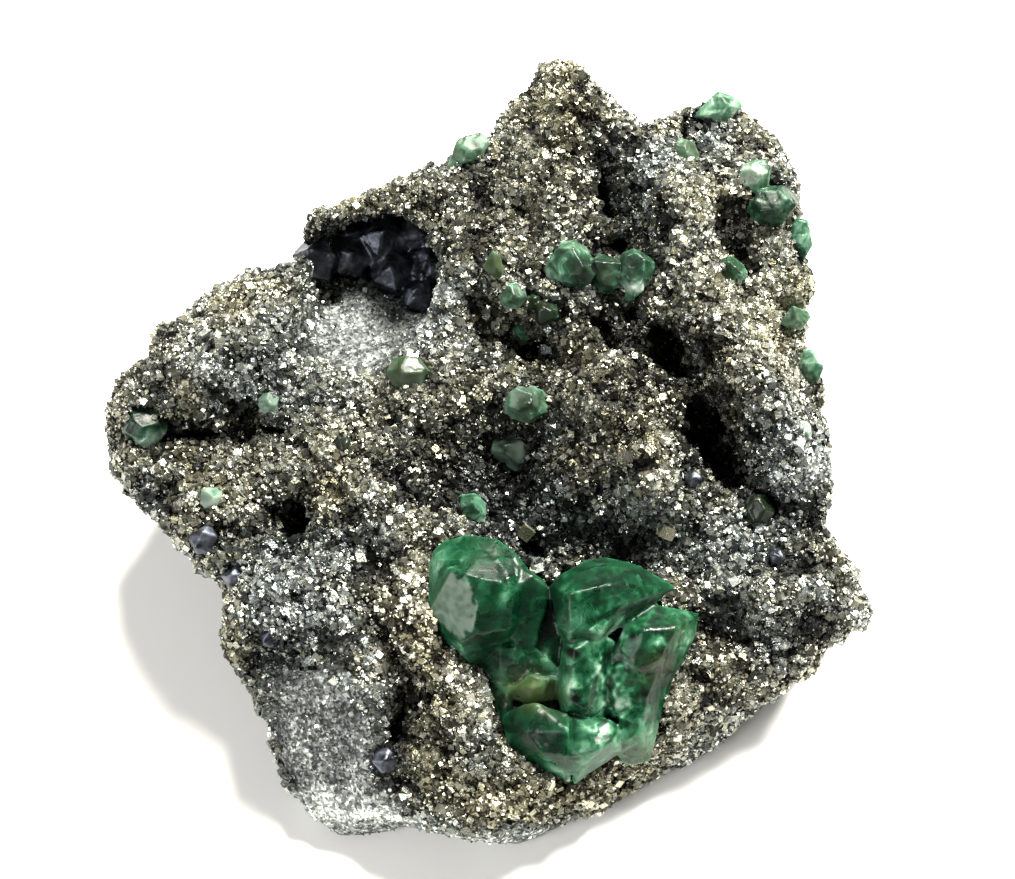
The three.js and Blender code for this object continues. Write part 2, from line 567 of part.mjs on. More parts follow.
// Single fluorite crystals, by name
const singles = {
  fluorite_upper_left: { at: [0.8, 20.9], stand: 1.4, radius: 3.2, turn: [20, 10, 15], cuts: 6, pale: true },
  fluorite_upper_olive: {
    at: [-1.8, 25], stand: 0.8, radius: 2.7,
    turn: [50, 10, 5], stretch: [0.8, 1.3, 1],
  },
  fluorite_upper_drop: {
    at: [2, 16.2], stand: 0.8, radius: 2.4,
    turn: [10, 60, 5], stretch: [0.7, 1.3, 1],
  },
  fluorite_centre: {
    at: [3, 5.2], stand: 0.2, radius: 5.8,
    turn: [25, 15, -12], stretch: [1, 0.8, 0.8], cuts: 6,
  },
  fluorite_centre_low: {
    at: [1, -1.8], stand: 0.5, radius: 5.8,
    turn: [60, 25, 40], stretch: [0.9, 1.1, 0.9], cuts: 5,
  },
  fluorite_round: {
    at: [-5.2, -10], stand: 0.8, radius: 4.2,
    turn: [35, 45, 20], stretch: [0.9, 1.1, 1], cuts: 6,
  },
  fluorite_left_edge: { at: [-53, 2.4], stand: 0.2, radius: 5.6, turn: [10, -20, 15], cuts: 5 },
  fluorite_left_small: { at: [-34.9, 5.5], stand: 0.2, radius: 3.1, turn: [40, 30, 20], cuts: 6, pale: true },
  fluorite_left_pale: { at: [-42.2, -8.3], stand: 0.2, radius: 3, turn: [20, 40, 35], cuts: 6, pale: true },
  fluorite_speck: { at: [-23.8, -0.8], stand: 0.3, radius: 2.4, turn: [50, 15, 10] },
  fluorite_hollow_rim: {
    at: [-14.4, 9.6], stand: 0.3, radius: 4.9,
    turn: [30, 15, 35], cuts: 5, pale: true,
  },
  fluorite_top_edge: {
    at: [-5.6, 43.2], stand: 0, radius: 4.2,
    turn: [25, 10, 42], stretch: [1.5, 0.8, 0.9],
  },
  fluorite_top_right: {
    at: [32.8, 50.4], stand: 0.2, radius: 4.4,
    turn: [20, 15, 12], stretch: [1.3, 0.8, 0.9],
  },
  fluorite_top_right_pale: {
    at: [26.6, 43], stand: 0.1, radius: 3.8,
    turn: [40, 20, 10], cuts: 6, pale: true,
  },
  fluorite_right_edge: {
    at: [43.6, 29.4], stand: 0, radius: 4.3,
    turn: [15, 30, 80], stretch: [1.6, 0.8, 1],
  },
  fluorite_right_pit: { at: [32.8, 24.6], stand: 0.5, radius: 4.2, turn: [25, 45, 30], cuts: 6 },
  fluorite_right_rim_small: { at: [42.8, 18.2], stand: 0, radius: 3.2, turn: [45, 10, 15] },
  fluorite_right_rim: {
    at: [44.6, 10.8], stand: 0.2, radius: 3.8,
    turn: [10, 25, 12], stretch: [0.8, 1.2, 1], cuts: 5,
  },
  fluorite_right_flake: { at: [42.4, 1.2], stand: 0.3, radius: 2.4, turn: [20, 50, 60] },
  fluorite_lower_right: { at: [35.8, -10], stand: 0.2, radius: 3.9, turn: [30, 30, 15], cuts: 6 },
};
Object.entries(singles).forEach(([name, crystal], n) => {
  addCrystals(name, [placedShape(crystal, n + 20)], crystal.pale ? paleLook : fluoriteLook);
});

// Galena grows as cubes and octahedra in equal parts
const galenaForm = { cut: 0.5, cuts: 6, uneven: 0 };

// The galena crust of the great hollow: blocky crystals side by side, by place and radius
const hollowCrust = [
  { at: [-29.4, 27.6, -15.5], radius: 5.8, turn: [20, 15, 30] },
  { at: [-24.6, 28.6, -18], radius: 5.6, turn: [45, 25, 10] },
  { at: [-19.6, 30.6, -18.5], radius: 6, turn: [15, 35, 25] },
  { at: [-15, 31.2, -20], radius: 5.4, turn: [30, 10, 50] },
  { at: [-12.8, 26.6, -18.4], radius: 5.2, turn: [60, 20, 35] },
  { at: [-17.8, 25.8, -17.6], radius: 5.6, turn: [10, 40, 60] },
  { at: [-13.8, 22.4, -17], radius: 4.4, turn: [35, 5, 15] },
  { at: [-23.4, 31.4, -19.5], radius: 4.8, turn: [25, 55, 20] },
];
addCrystals(
  "galena_hollow_crust",
  hollowCrust.map(({ at, turn, radius }, n) => {
    const pose = new THREE.Matrix4().makeRotationFromEuler(new THREE.Euler(...turn.map(radians)));
    return cubicCrystal({ radius, ...galenaForm }, n + 50).applyMatrix4(pose.setPosition(...at));
  }),
  galenaLook,
);

// Single galena crystals on the face
const galenas = {
  galena_right: { at: [26.8, -5.8], stand: 0.6, radius: 2.2, turn: [20, 15, 40] },
  galena_low_right: { at: [38, -16.6], stand: 0.6, radius: 2, turn: [35, 20, 15] },
  galena_left: { at: [-43.4, -14.2], stand: -0.4, radius: 3.6, turn: [15, 25, 20] },
  galena_left_rim: { at: [-38.6, -19.6], stand: -1, radius: 3.4, turn: [25, 10, 35] },
  galena_lump: { at: [-33.4, -27.8], stand: -0.2, radius: 2.3, turn: [10, 15, 10] },
  galena_bottom: { at: [-17.2, -44.8], stand: 0.8, radius: 2.9, turn: [30, 35, 25] },
};
Object.entries(galenas).forEach(([name, crystal], n) => {
  addCrystals(name, [placedShape({ ...galenaForm, ...crystal }, n + 60)], galenaLook);
});

// ---------------------------------------------------------------- the rock

// Coarse pyrite cubes of the crust, fused to the rock: place on the face and half width
const coarsePyrite = [
  { at: [2.7, -13.3], half: 1 },
  { at: [22.7, -13.2], half: 0.95 },
  { at: [16.7, -2.4], half: 0.8 },
  { at: [20.2, -1.6], half: 0.8 },
  { at: [5.8, 13.6], half: 0.8 },
  { at: [-3.3, -35.2], half: 0.9 },
  { at: [-21, -17], half: 0.9 },
];

function pyriteCubes() {
  return coarsePyrite.map(({ at, half }, n) => {
    const pose = new THREE.Matrix4().compose(
      new THREE.Vector3(at[0], at[1], surfaceHeight(at[0], at[1])),
      new THREE.Quaternion().setFromEuler(new THREE.Euler(...[90, 150, 210].map((k) => 3 * chance(n + k)))),
      new THREE.Vector3(half, half, half),
    );
    return solidFrom(new THREE.BoxGeometry(2, 2, 2), displayToRow.clone().multiply(pose));
  });
}

// The space that a crystal takes out of the rock: the crystal itself, grown about its middle until
// even its nearest face stands off by the gap
function socketFor(shape) {
  const place = shape.getAttribute("position");
  const middle = new THREE.Box3().setFromBufferAttribute(place).getCenter(new THREE.Vector3());
  let nearest = Infinity;
  for (let i = 0; i < place.count; i += 3) {
    const corners = [0, 1, 2].map((k) => new THREE.Vector3().fromBufferAttribute(place, i + k));
    const face = new THREE.Triangle(...corners);
    if (face.getArea() < 1e-4) continue;
    const plane = face.getPlane(new THREE.Plane());
    nearest = Math.min(nearest, Math.abs(plane.distanceToPoint(middle)));
  }
  const growth = 1 + socketGap / nearest;
  const grow = new THREE.Matrix4().makeTranslation(middle);
  grow.scale(new THREE.Vector3(growth, growth, growth));
  grow.multiply(new THREE.Matrix4().makeTranslation(middle.clone().negate()));
  return solidFrom(shape, displayToRow.clone().multiply(grow));
}

function rockSolid() {
  let rock = solidFrom(rockGeometry(), displayToRow);
  for (const [index, pit] of pits.entries()) rock = rock.subtract(pitSolid(pit, index));
  rock = rock.subtract(greatHollow());
  for (const cube of pyriteCubes()) rock = rock.add(cube);
  for (const shape of grown) rock = rock.subtract(socketFor(shape));
  const ground = new THREE.BoxGeometry(300, 300, 100).translate(0, 0, -50);
  rock = rock.subtract(solidFrom(ground));
  return rock.simplify(weldSize).decompose().sort((a, b) => b.volume() - a.volume())[0];
}

const rock = new THREE.Mesh(geometryFrom(rockSolid()), pyriteLook);
rock.name = "pyrite_matrix";

// ---------------------------------------------------------------- the specimen

// Everything together, moved so that the middle of its base is the origin
const specimen = new THREE.Group();
specimen.add(rock, display);
specimen.updateMatrixWorld(true);
const extent = new THREE.Box3().setFromObject(specimen, true);
const middle = extent.getCenter(new THREE.Vector3());
specimen.position.set(-middle.x, -middle.y, -extent.min.z);

const part = new THREE.Group();
part.add(specimen);

export default part;
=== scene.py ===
import json
import math
import time

import bmesh
import bpy
import numpy as np
from mathutils import Matrix, Vector
from mathutils.bvhtree import BVHTree


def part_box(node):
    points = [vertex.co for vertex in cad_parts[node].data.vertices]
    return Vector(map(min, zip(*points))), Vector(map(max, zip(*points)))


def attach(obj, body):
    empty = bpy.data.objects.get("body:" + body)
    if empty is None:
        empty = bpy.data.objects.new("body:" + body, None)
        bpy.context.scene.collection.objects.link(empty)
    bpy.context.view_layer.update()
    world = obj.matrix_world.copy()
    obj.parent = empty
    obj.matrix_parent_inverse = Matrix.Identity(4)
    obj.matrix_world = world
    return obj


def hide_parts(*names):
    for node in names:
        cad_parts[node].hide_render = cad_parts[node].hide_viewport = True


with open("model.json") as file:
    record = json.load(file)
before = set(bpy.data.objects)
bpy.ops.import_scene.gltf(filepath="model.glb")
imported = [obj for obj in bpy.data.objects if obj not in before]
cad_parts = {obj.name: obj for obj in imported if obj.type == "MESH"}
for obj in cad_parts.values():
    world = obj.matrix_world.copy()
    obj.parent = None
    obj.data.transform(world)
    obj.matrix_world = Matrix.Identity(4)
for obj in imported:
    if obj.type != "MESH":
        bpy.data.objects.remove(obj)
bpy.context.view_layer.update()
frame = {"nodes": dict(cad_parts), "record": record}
startTime = time.time()


def report(stage):
    print(f"{stage}: {time.time() - startTime:.1f} s", flush=True)


def linearColour(code, alpha=1.0):
    # sRGB to linear: c / 12.92 up to 0.04045, ((c + 0.055) / 1.055)^2.4 above it
    channels = [int(code[i:i + 2], 16) / 255 for i in (1, 3, 5)]
    linear = [c / 12.92 if c <= 0.04045 else ((c + 0.055) / 1.055) ** 2.4 for c in channels]
    return (*linear, alpha)


# ---- the face frame: u to the right, v up the crystal face, w out of it, in millimetres

faceFrame = {
    "lean": math.radians(30),  # how far the crystal face leans back
    "clusterOffset": (0.0079, -0.03076, -0.00775),  # from the frame's origin to the cluster's middle
}
clusterLow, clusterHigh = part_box("fluorite_great_cluster")
faceOrigin = np.array((clusterLow + clusterHigh) / 2) - np.array(faceFrame["clusterOffset"])
faceTurn = np.array(Matrix.Rotation(faceFrame["lean"], 3, "X"))


def toFace(points):
    # (u, v, w) = R^T (p - origin), in millimetres
    return (points - faceOrigin) @ faceTurn * 1000


def toRow(points):
    # p = origin + R (u, v, w), in metres
    return np.asarray(points, float) @ faceTurn.T / 1000 + faceOrigin


# ---- noise, worked out on whole arrays of points

def latticeValues(cells, seed):
    # a repeatable number from 0 to 1 for each whole-number cell (i, j, k)
    h = cells[..., 0] * 73856093 ^ cells[..., 1] * 19349663 ^ cells[..., 2] * 83492791 ^ seed * 2654435761
    h = (h ^ (h >> 13)) * 1274126177 & 0xFFFFFFFF
    h = (h ^ (h >> 16)) * 2246822519 & 0xFFFFFFFF
    return ((h ^ (h >> 15)) & 0xFFFFFF) / 0xFFFFFF


def smoothNoise(points, size, seed):
    # values at lattice corners, blended with 3t^2 - 2t^3 along each axis, from -1 to 1
    place = points / size
    cell = np.floor(place).astype(np.int64)
    part = place - cell
    blend = part * part * (3 - 2 * part)
    total = np.zeros(len(points))
    for corner in np.ndindex(2, 2, 2):
        weight = np.prod(np.where(corner, blend, 1 - blend), axis=1)
        total += weight * latticeValues(cell + np.array(corner), seed)
    return total * 2 - 1


def knobNoise(points, size, seed):
    # 1 - d / size, where d is the distance to the nearest of the points strewn one to a lattice cell
    place = points / size
    cell = np.floor(place).astype(np.int64)
    nearest = np.full(len(points), np.inf)
    for step in np.ndindex(3, 3, 3):
        near = cell + np.array(step) - 1
        seedPoint = near + np.stack([latticeValues(near, seed + k) for k in range(3)], axis=1)
        nearest = np.minimum(nearest, np.linalg.norm(place - seedPoint, axis=1))
    return 1 - nearest


def chippedNoise(points, size, seed):
    # g . (p - c) / size, where c is the nearest of the strewn points and g a random direction that
    # belongs to it: flat chips with small steps between them
    place = points / size
    cell = np.floor(place).astype(np.int64)
    nearest = np.full(len(points), np.inf)
    value = np.zeros(len(points))
    for step in np.ndindex(3, 3, 3):
        near = cell + np.array(step) - 1
        away = place - near - np.stack([latticeValues(near, seed + k) for k in range(3)], axis=1)
        slope = np.stack([latticeValues(near, seed + k) * 2 - 1 for k in range(3, 6)], axis=1)
        distance = np.linalg.norm(away, axis=1)
        closer = distance < nearest
        nearest = np.where(closer, distance, nearest)
        value = np.where(closer, np.sum(away * slope, axis=1), value)
    return value


def patchAt(uv, place, reach, turn=0.0):
    # exp(-(a^2 + b^2)) of the distances along and across the patch's long axis, in units of its reach
    c, s = math.cos(math.radians(turn)), math.sin(math.radians(turn))
    du, dv = uv[:, 0] - place[0], uv[:, 1] - place[1]
    along, across = (du * c + dv * s) / reach[0], (dv * c - du * s) / reach[1]
    return np.exp(-(along ** 2 + across ** 2))


# ---- meshes

def mergedCopy(nodeName, pieceName):
    # the node's loose triangles with their corners joined, as a new object at the origin
    bm = bmesh.new()
    bm.from_mesh(frame["nodes"][nodeName].data)
    bmesh.ops.remove_doubles(bm, verts=bm.verts, dist=1e-6)
    mesh = bpy.data.meshes.new(pieceName)
    bm.to_mesh(mesh)
    bm.free()
    piece = bpy.data.objects.new(pieceName, mesh)
    bpy.context.scene.collection.objects.link(piece)
    return piece


def applyModifiers(piece):
    depsgraph = bpy.context.evaluated_depsgraph_get()
    mesh = bpy.data.meshes.new_from_object(piece.evaluated_get(depsgraph))
    piece.modifiers.clear()
    old = piece.data
    piece.data = mesh
    bpy.data.meshes.remove(old)


def remeshed(piece, grain, smooth=0):
    # an even net of faces about as long as grain, its edges rounded by a few rounds of smoothing
    remesh = piece.modifiers.new("remesh", "REMESH")
    remesh.mode = "VOXEL"
    remesh.voxel_size = grain
    if smooth:
        soften = piece.modifiers.new("soften", "SMOOTH")
        soften.iterations = smooth
        soften.factor = 0.5
    applyModifiers(piece)


def coordinatesOf(mesh):
    place = np.empty(len(mesh.vertices) * 3)
    mesh.vertices.foreach_get("co", place)
    return place.reshape(-1, 3)


def normalsOf(mesh):
    out = np.empty(len(mesh.vertices) * 3)
    mesh.vertices.foreach_get("normal", out)
    return out.reshape(-1, 3)


def finishPiece(piece, nodes, materials, flat=False):
    piece.data.materials.clear()
    for material in materials:
        piece.data.materials.append(material)
    if flat:
        piece.data.shade_flat()
    else:
        piece.data.shade_smooth()
    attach(piece, "root")
    if nodes:
        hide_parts(*nodes)


# ---- materials

def addNode(tree, kind, links=None, **settings):
    node = tree.nodes.new(kind)
    for name, value in settings.items():
        setattr(node, name, value)
    for socket, source in (links or {}).items():
        if isinstance(source, bpy.types.NodeSocket):
            tree.links.new(source, node.inputs[socket])
        else:
            node.inputs[socket].default_value = source
    return node


def newMaterial(name):
    material = bpy.data.materials.new(name)
    material.use_nodes = True
    tree = material.node_tree
    tree.nodes.clear()
    surface = addNode(tree, "ShaderNodeBsdfPrincipled")
    output = addNode(tree, "ShaderNodeOutputMaterial", {"Surface": surface.outputs[0]})
    place = addNode(tree, "ShaderNodeTexCoord").outputs["Object"]
    return material, tree, surface, output, place


def colourRamp(tree, factor, stops):
    ramp = addNode(tree, "ShaderNodeValToRGB", {"Fac": factor})
    elements = ramp.color_ramp.elements
    while len(elements) < len(stops):
        elements.new(0.5)
    for element, (position, code) in zip(elements, stops):
        element.position = position
        element.color = linearColour(code)
    return ramp.outputs["Color"]


# Pyrite, iron sulphide grown as small cubes and octahedra: bright brass mirrors beside tarnished
# brown and grey ones, so the crust glitters. Tone runs from sooty to bright, gold from grey to brass.
pyriteTones = {
    "brass": [(0.0, "#0a0a08"), (0.3, "#2a2820"), (0.5, "#605d49"), (0.72, "#949078"), (0.88, "#c2bea6"),
              (1.0, "#f2efe0")],
    "grey": [(0.0, "#090a09"), (0.3, "#262928"), (0.5, "#585d5c"), (0.72, "#8b918f"), (0.88, "#b9c0be"),
             (1.0, "#eff1ee")],
}
# a scale is cells or clouds to the metre, and a bump is its strength and its height in metres
crystalFinish = {
    "metallic": 0.85,
    "tarnish": 900.0,  # clouds 1.1 mm across
    "tarnishEnds": (0.35, 0.65), "roughness": (0.25, 0.5),
    "steps": 3200.0, "bump": (0.6, 0.00012),  # growth steps 0.3 mm wide, coarser than real ones
}


def pyriteColour(tree, tone):
    # the brass ramp and the grey ramp, mixed by the attribute gold
    gold = addNode(tree, "ShaderNodeAttribute", attribute_name="gold").outputs["Fac"]
    brass, grey = (colourRamp(tree, tone, pyriteTones[kind]) for kind in ("brass", "grey"))
    mix = addNode(tree, "ShaderNodeMix", {0: gold, 6: grey, 7: brass}, data_type="RGBA")
    return mix.outputs[2]


def pyriteCrystalMaterial():
    material, tree, surface, _, place = newMaterial("pyrite crystals")
    tone = addNode(tree, "ShaderNodeAttribute", attribute_name="tone").outputs["Fac"]
    tree.links.new(pyriteColour(tree, tone), surface.inputs["Base Color"])
    tarnish = addNode(tree, "ShaderNodeTexNoise", {
        "Vector": place, "Scale": crystalFinish["tarnish"], "Detail": 2.0})
    (fromLow, fromHigh), (smooth, dull) = crystalFinish["tarnishEnds"], crystalFinish["roughness"]
    rough = addNode(tree, "ShaderNodeMapRange", {
        "Value": tarnish.outputs["Fac"], "From Min": fromLow, "From Max": fromHigh,
        "To Min": smooth, "To Max": dull})
    tree.links.new(rough.outputs["Result"], surface.inputs["Roughness"])
    steps = addNode(tree, "ShaderNodeTexVoronoi", {"Vector": place, "Scale": crystalFinish["steps"]})
    strength, height = crystalFinish["bump"]
    bump = addNode(tree, "ShaderNodeBump", {
        "Height": steps.outputs["Distance"], "Strength": strength, "Distance": height})
    tree.links.new(bump.outputs["Normal"], surface.inputs["Normal"])
    surface.inputs["Metallic"].default_value = crystalFinish["metallic"]
    return material


oreFinish = {
    "metallic": 0.35, "roughness": 0.5, "bump": (0.7, 0.0006),
    "grains": 2600.0, "clouds": 420.0,  # grains 0.4 mm and clouds 2.4 mm across
    # how much the grains and the clouds change the tone, where the rock is covered and where it is bare
    "contrast": (0.42, 0.85), "swing": (1.0, 1.8),
    "bareDrop": -0.4, "drop": 0.92,  # what the tone loses on bare rock, and what it loses everywhere as painted shade for the gaps between the crystals
    "grainHeight": 0.4,
}


def pyriteRockMaterial():
    # the ore between and under the crystals: dark and fine grained where the crust covers it, its tone
    # lowered everywhere by painted shade for the gaps between the crystals, pale grey and sugary where it
    # is bare
    material, tree, surface, _, place = newMaterial("pyrite ore")
    tone = addNode(tree, "ShaderNodeAttribute", attribute_name="tone").outputs["Fac"]
    sugar = addNode(tree, "ShaderNodeAttribute", attribute_name="sugar").outputs["Fac"]
    grains = addNode(tree, "ShaderNodeTexVoronoi", {"Vector": place, "Scale": oreFinish["grains"]})
    clouds = addNode(tree, "ShaderNodeTexNoise", {
        "Vector": place, "Scale": oreFinish["clouds"], "Detail": 8.0, "Roughness": 0.8})
    contrast, swing = (
        addNode(tree, "ShaderNodeMapRange", {"Value": sugar, "To Min": covered, "To Max": bare})
        for covered, bare in (oreFinish["contrast"], oreFinish["swing"]))
    flecks = addNode(tree, "ShaderNodeMath", {
        0: grains.outputs["Color"], 1: contrast.outputs["Result"], 2: tone}, operation="MULTIPLY_ADD")
    clouded = addNode(tree, "ShaderNodeMath", {
        0: clouds.outputs["Fac"], 1: swing.outputs["Result"], 2: flecks.outputs[0]},
        operation="MULTIPLY_ADD")
    dropped = addNode(tree, "ShaderNodeMath", {
        0: sugar, 1: oreFinish["bareDrop"], 2: clouded.outputs[0]}, operation="MULTIPLY_ADD")
    # painted shade: the tone drops everywhere, standing in for the shade between the crystals
    lower = addNode(tree, "ShaderNodeMath", {0: dropped.outputs[0], 1: oreFinish["drop"]},
                    operation="SUBTRACT")
    tree.links.new(pyriteColour(tree, lower.outputs[0]), surface.inputs["Base Color"])
    relief = addNode(tree, "ShaderNodeMath", {
        0: grains.outputs["Distance"], 1: oreFinish["grainHeight"], 2: clouds.outputs["Fac"]},
        operation="MULTIPLY_ADD")
    strength, height = oreFinish["bump"]
    bump = addNode(tree, "ShaderNodeBump", {
        "Height": relief.outputs[0], "Strength": strength, "Distance": height})
    tree.links.new(bump.outputs["Normal"], surface.inputs["Normal"])
    surface.inputs["Metallic"].default_value = oreFinish["metallic"]
    surface.inputs["Roughness"].default_value = oreFinish["roughness"]
    return material


galenaFinish = {
    "metallic": 1.0, "tones": [(0.3, "#2d3034"), (0.52, "#4f535b"), (0.72, "#7c818c")],
    "film": 420.0,  # patches 2.4 mm across
    "filmEnds": (0.3, 0.7), "roughness": (0.35, 0.6), "bump": (0.5, 0.0005),
}


def galenaMaterial():
    # galena, lead sulphide: dark lead-grey metal, its faces dulled by a film
    material, tree, surface, _, place = newMaterial("galena")
    film = addNode(tree, "ShaderNodeTexNoise", {
        "Vector": place, "Scale": galenaFinish["film"], "Detail": 4.0})
    colour = colourRamp(tree, film.outputs["Fac"], galenaFinish["tones"])
    tree.links.new(colour, surface.inputs["Base Color"])
    (fromLow, fromHigh), (smooth, dull) = galenaFinish["filmEnds"], galenaFinish["roughness"]
    rough = addNode(tree, "ShaderNodeMapRange", {
        "Value": film.outputs["Fac"], "From Min": fromLow, "From Max": fromHigh,
        "To Min": smooth, "To Max": dull})
    tree.links.new(rough.outputs["Result"], surface.inputs["Roughness"])
    strength, height = galenaFinish["bump"]
    bump = addNode(tree, "ShaderNodeBump", {
        "Height": film.outputs["Fac"], "Strength": strength, "Distance": height})
    tree.links.new(bump.outputs["Normal"], surface.inputs["Normal"])
    surface.inputs["Metallic"].default_value = galenaFinish["metallic"]
    return material


fluoriteStains = {"olive": "#56633a", "frost": "#76897a", "dark": "#070907"}
fluoriteFinish = {
    "refraction": 1.434,
    "veils": 420.0, "cracks": 260.0, "etching": 1100.0,  # 2.4 mm, 3.8 mm and 0.9 mm across
    "crackWidth": 0.02, "etchHeight": 0.0004,
    "wornEnds": (0.4, 0.6), "worn": 0.4,  # where the veils dull a face, and how much at most
    "milky": 0.6, "bleeds": (0.35, 1.0, 0.6),  # the share of light that sinks in, and how far by colour
}
fluoriteLooks = {
    # tones run from the deep green of a clear, thick part to the mint of a cloudy or thin one, and
    # smooth and etched are the roughness of plain and of etched faces
    "great": {
        "tones": [(0.0, "#022212"), (0.22, "#093e22"), (0.42, "#275d40"), (0.62, "#558b6b"),
                  (0.82, "#96bfa3"), (1.0, "#d3e2d4")],
        "smooth": 0.26, "etched": 0.5, "shine": 0.06, "relief": 0.12, "clear": 0.4,
        "veils": 0.8, "detail": 5.0, "threads": 0.12,
        "absorbs": "#12a860", "density": 140.0, "bleed": 0.002,
    },
    "small": {
        "tones": [(0.0, "#04160b"), (0.25, "#11341e"), (0.45, "#305d44"), (0.65, "#66947a"),
                  (0.85, "#a5c6ad"), (1.0, "#d8e6d9")],
        "smooth": 0.28, "etched": 0.5, "shine": 0.14, "relief": 0.15, "clear": 0.55,
        "veils": 1.5, "detail": 3.0, "threads": 0.15,
        "absorbs": "#4fc089", "density": 120.0, "bleed": 0.001,
    },
}


def fluoriteMaterial(name, looks):
    # fluorite, clear green glass-like crystal: light sinks in and comes back green, veils and cleavage
    # cracks inside make pale clouds and threads, and etched faces are frosted grey
    material, tree, surface, output, place = newMaterial(name)
    pale, olive, frost, dark, dull = (
        addNode(tree, "ShaderNodeAttribute", attribute_name=kind).outputs["Fac"]
        for kind in ("pale", "olive", "frost", "dark", "dull"))
    veils = addNode(tree, "ShaderNodeTexNoise", {
        "Vector": place, "Scale": fluoriteFinish["veils"], "Detail": looks["detail"],
        "Roughness": 0.65, "Distortion": 0.8})
    cracks = addNode(tree, "ShaderNodeTexVoronoi", {"Vector": place, "Scale": fluoriteFinish["cracks"]},
                     feature="DISTANCE_TO_EDGE")
    threads = addNode(tree, "ShaderNodeMapRange", {
        "Value": cracks.outputs["Distance"], "From Max": fluoriteFinish["crackWidth"],
        "To Min": looks["threads"], "To Max": 0.0})
    clouded = addNode(tree, "ShaderNodeMath", {
        0: veils.outputs["Fac"], 1: looks["veils"], 2: pale}, operation="MULTIPLY_ADD")
    threaded = addNode(tree, "ShaderNodeMath", {0: clouded.outputs[0], 1: threads.outputs["Result"]})
    shade = addNode(tree, "ShaderNodeMath", {0: threaded.outputs[0], 1: looks["veils"] / 2},
                    operation="SUBTRACT")
    colour = colourRamp(tree, shade.outputs[0], looks["tones"])
    for kind, amount in (("olive", olive), ("frost", frost), ("dark", dark)):
        stained = linearColour(fluoriteStains[kind])
        stain = addNode(tree, "ShaderNodeMix", {0: amount, 6: colour, 7: stained}, data_type="RGBA")
        colour = stain.outputs[2]
    tree.links.new(colour, surface.inputs["Base Color"])
    fromLow, fromHigh = fluoriteFinish["wornEnds"]
    worn = addNode(tree, "ShaderNodeMapRange", {
        "Value": veils.outputs["Fac"], "From Min": fromLow, "From Max": fromHigh,
        "To Max": fluoriteFinish["worn"]})
    dulled = addNode(tree, "ShaderNodeMath", {0: frost, 1: worn.outputs["Result"]}, operation="MAXIMUM")
    dullest = addNode(tree, "ShaderNodeMath", {0: dulled.outputs[0], 1: dull}, operation="MAXIMUM")
    rough = addNode(tree, "ShaderNodeMapRange", {
        "Value": dullest.outputs[0], "To Min": looks["smooth"], "To Max": looks["etched"]})
    tree.links.new(rough.outputs["Result"], surface.inputs["Roughness"])
    etching = addNode(tree, "ShaderNodeTexNoise", {
        "Vector": place, "Scale": fluoriteFinish["etching"], "Detail": 5.0, "Roughness": 0.65})
    bump = addNode(tree, "ShaderNodeBump", {
        "Height": etching.outputs["Fac"], "Strength": looks["relief"],
        "Distance": fluoriteFinish["etchHeight"]})
    tree.links.new(bump.outputs["Normal"], surface.inputs["Normal"])
    surface.inputs["IOR"].default_value = fluoriteFinish["refraction"]
    surface.inputs["Specular IOR Level"].default_value = looks["shine"]
    surface.inputs["Transmission Weight"].default_value = looks["clear"]
    surface.inputs["Subsurface Weight"].default_value = fluoriteFinish["milky"]
    surface.inputs["Subsurface Radius"].default_value = fluoriteFinish["bleeds"]
    surface.inputs["Subsurface Scale"].default_value = looks["bleed"]
    inside = addNode(tree, "ShaderNodeVolumeAbsorption")
    inside.inputs["Color"].default_value = linearColour(looks["absorbs"])
    inside.inputs["Density"].default_value = looks["density"]
    tree.links.new(inside.outputs[0], output.inputs["Volume"])
    return material


pyriteCrystals = pyriteCrystalMaterial()
pyriteOre = pyriteRockMaterial()
galena = galenaMaterial()
fluoriteGreat = fluoriteMaterial("fluorite", fluoriteLooks["great"])
fluoriteSmall = fluoriteMaterial("small fluorite", fluoriteLooks["small"])
report("materials")

# ---- the ore's skin

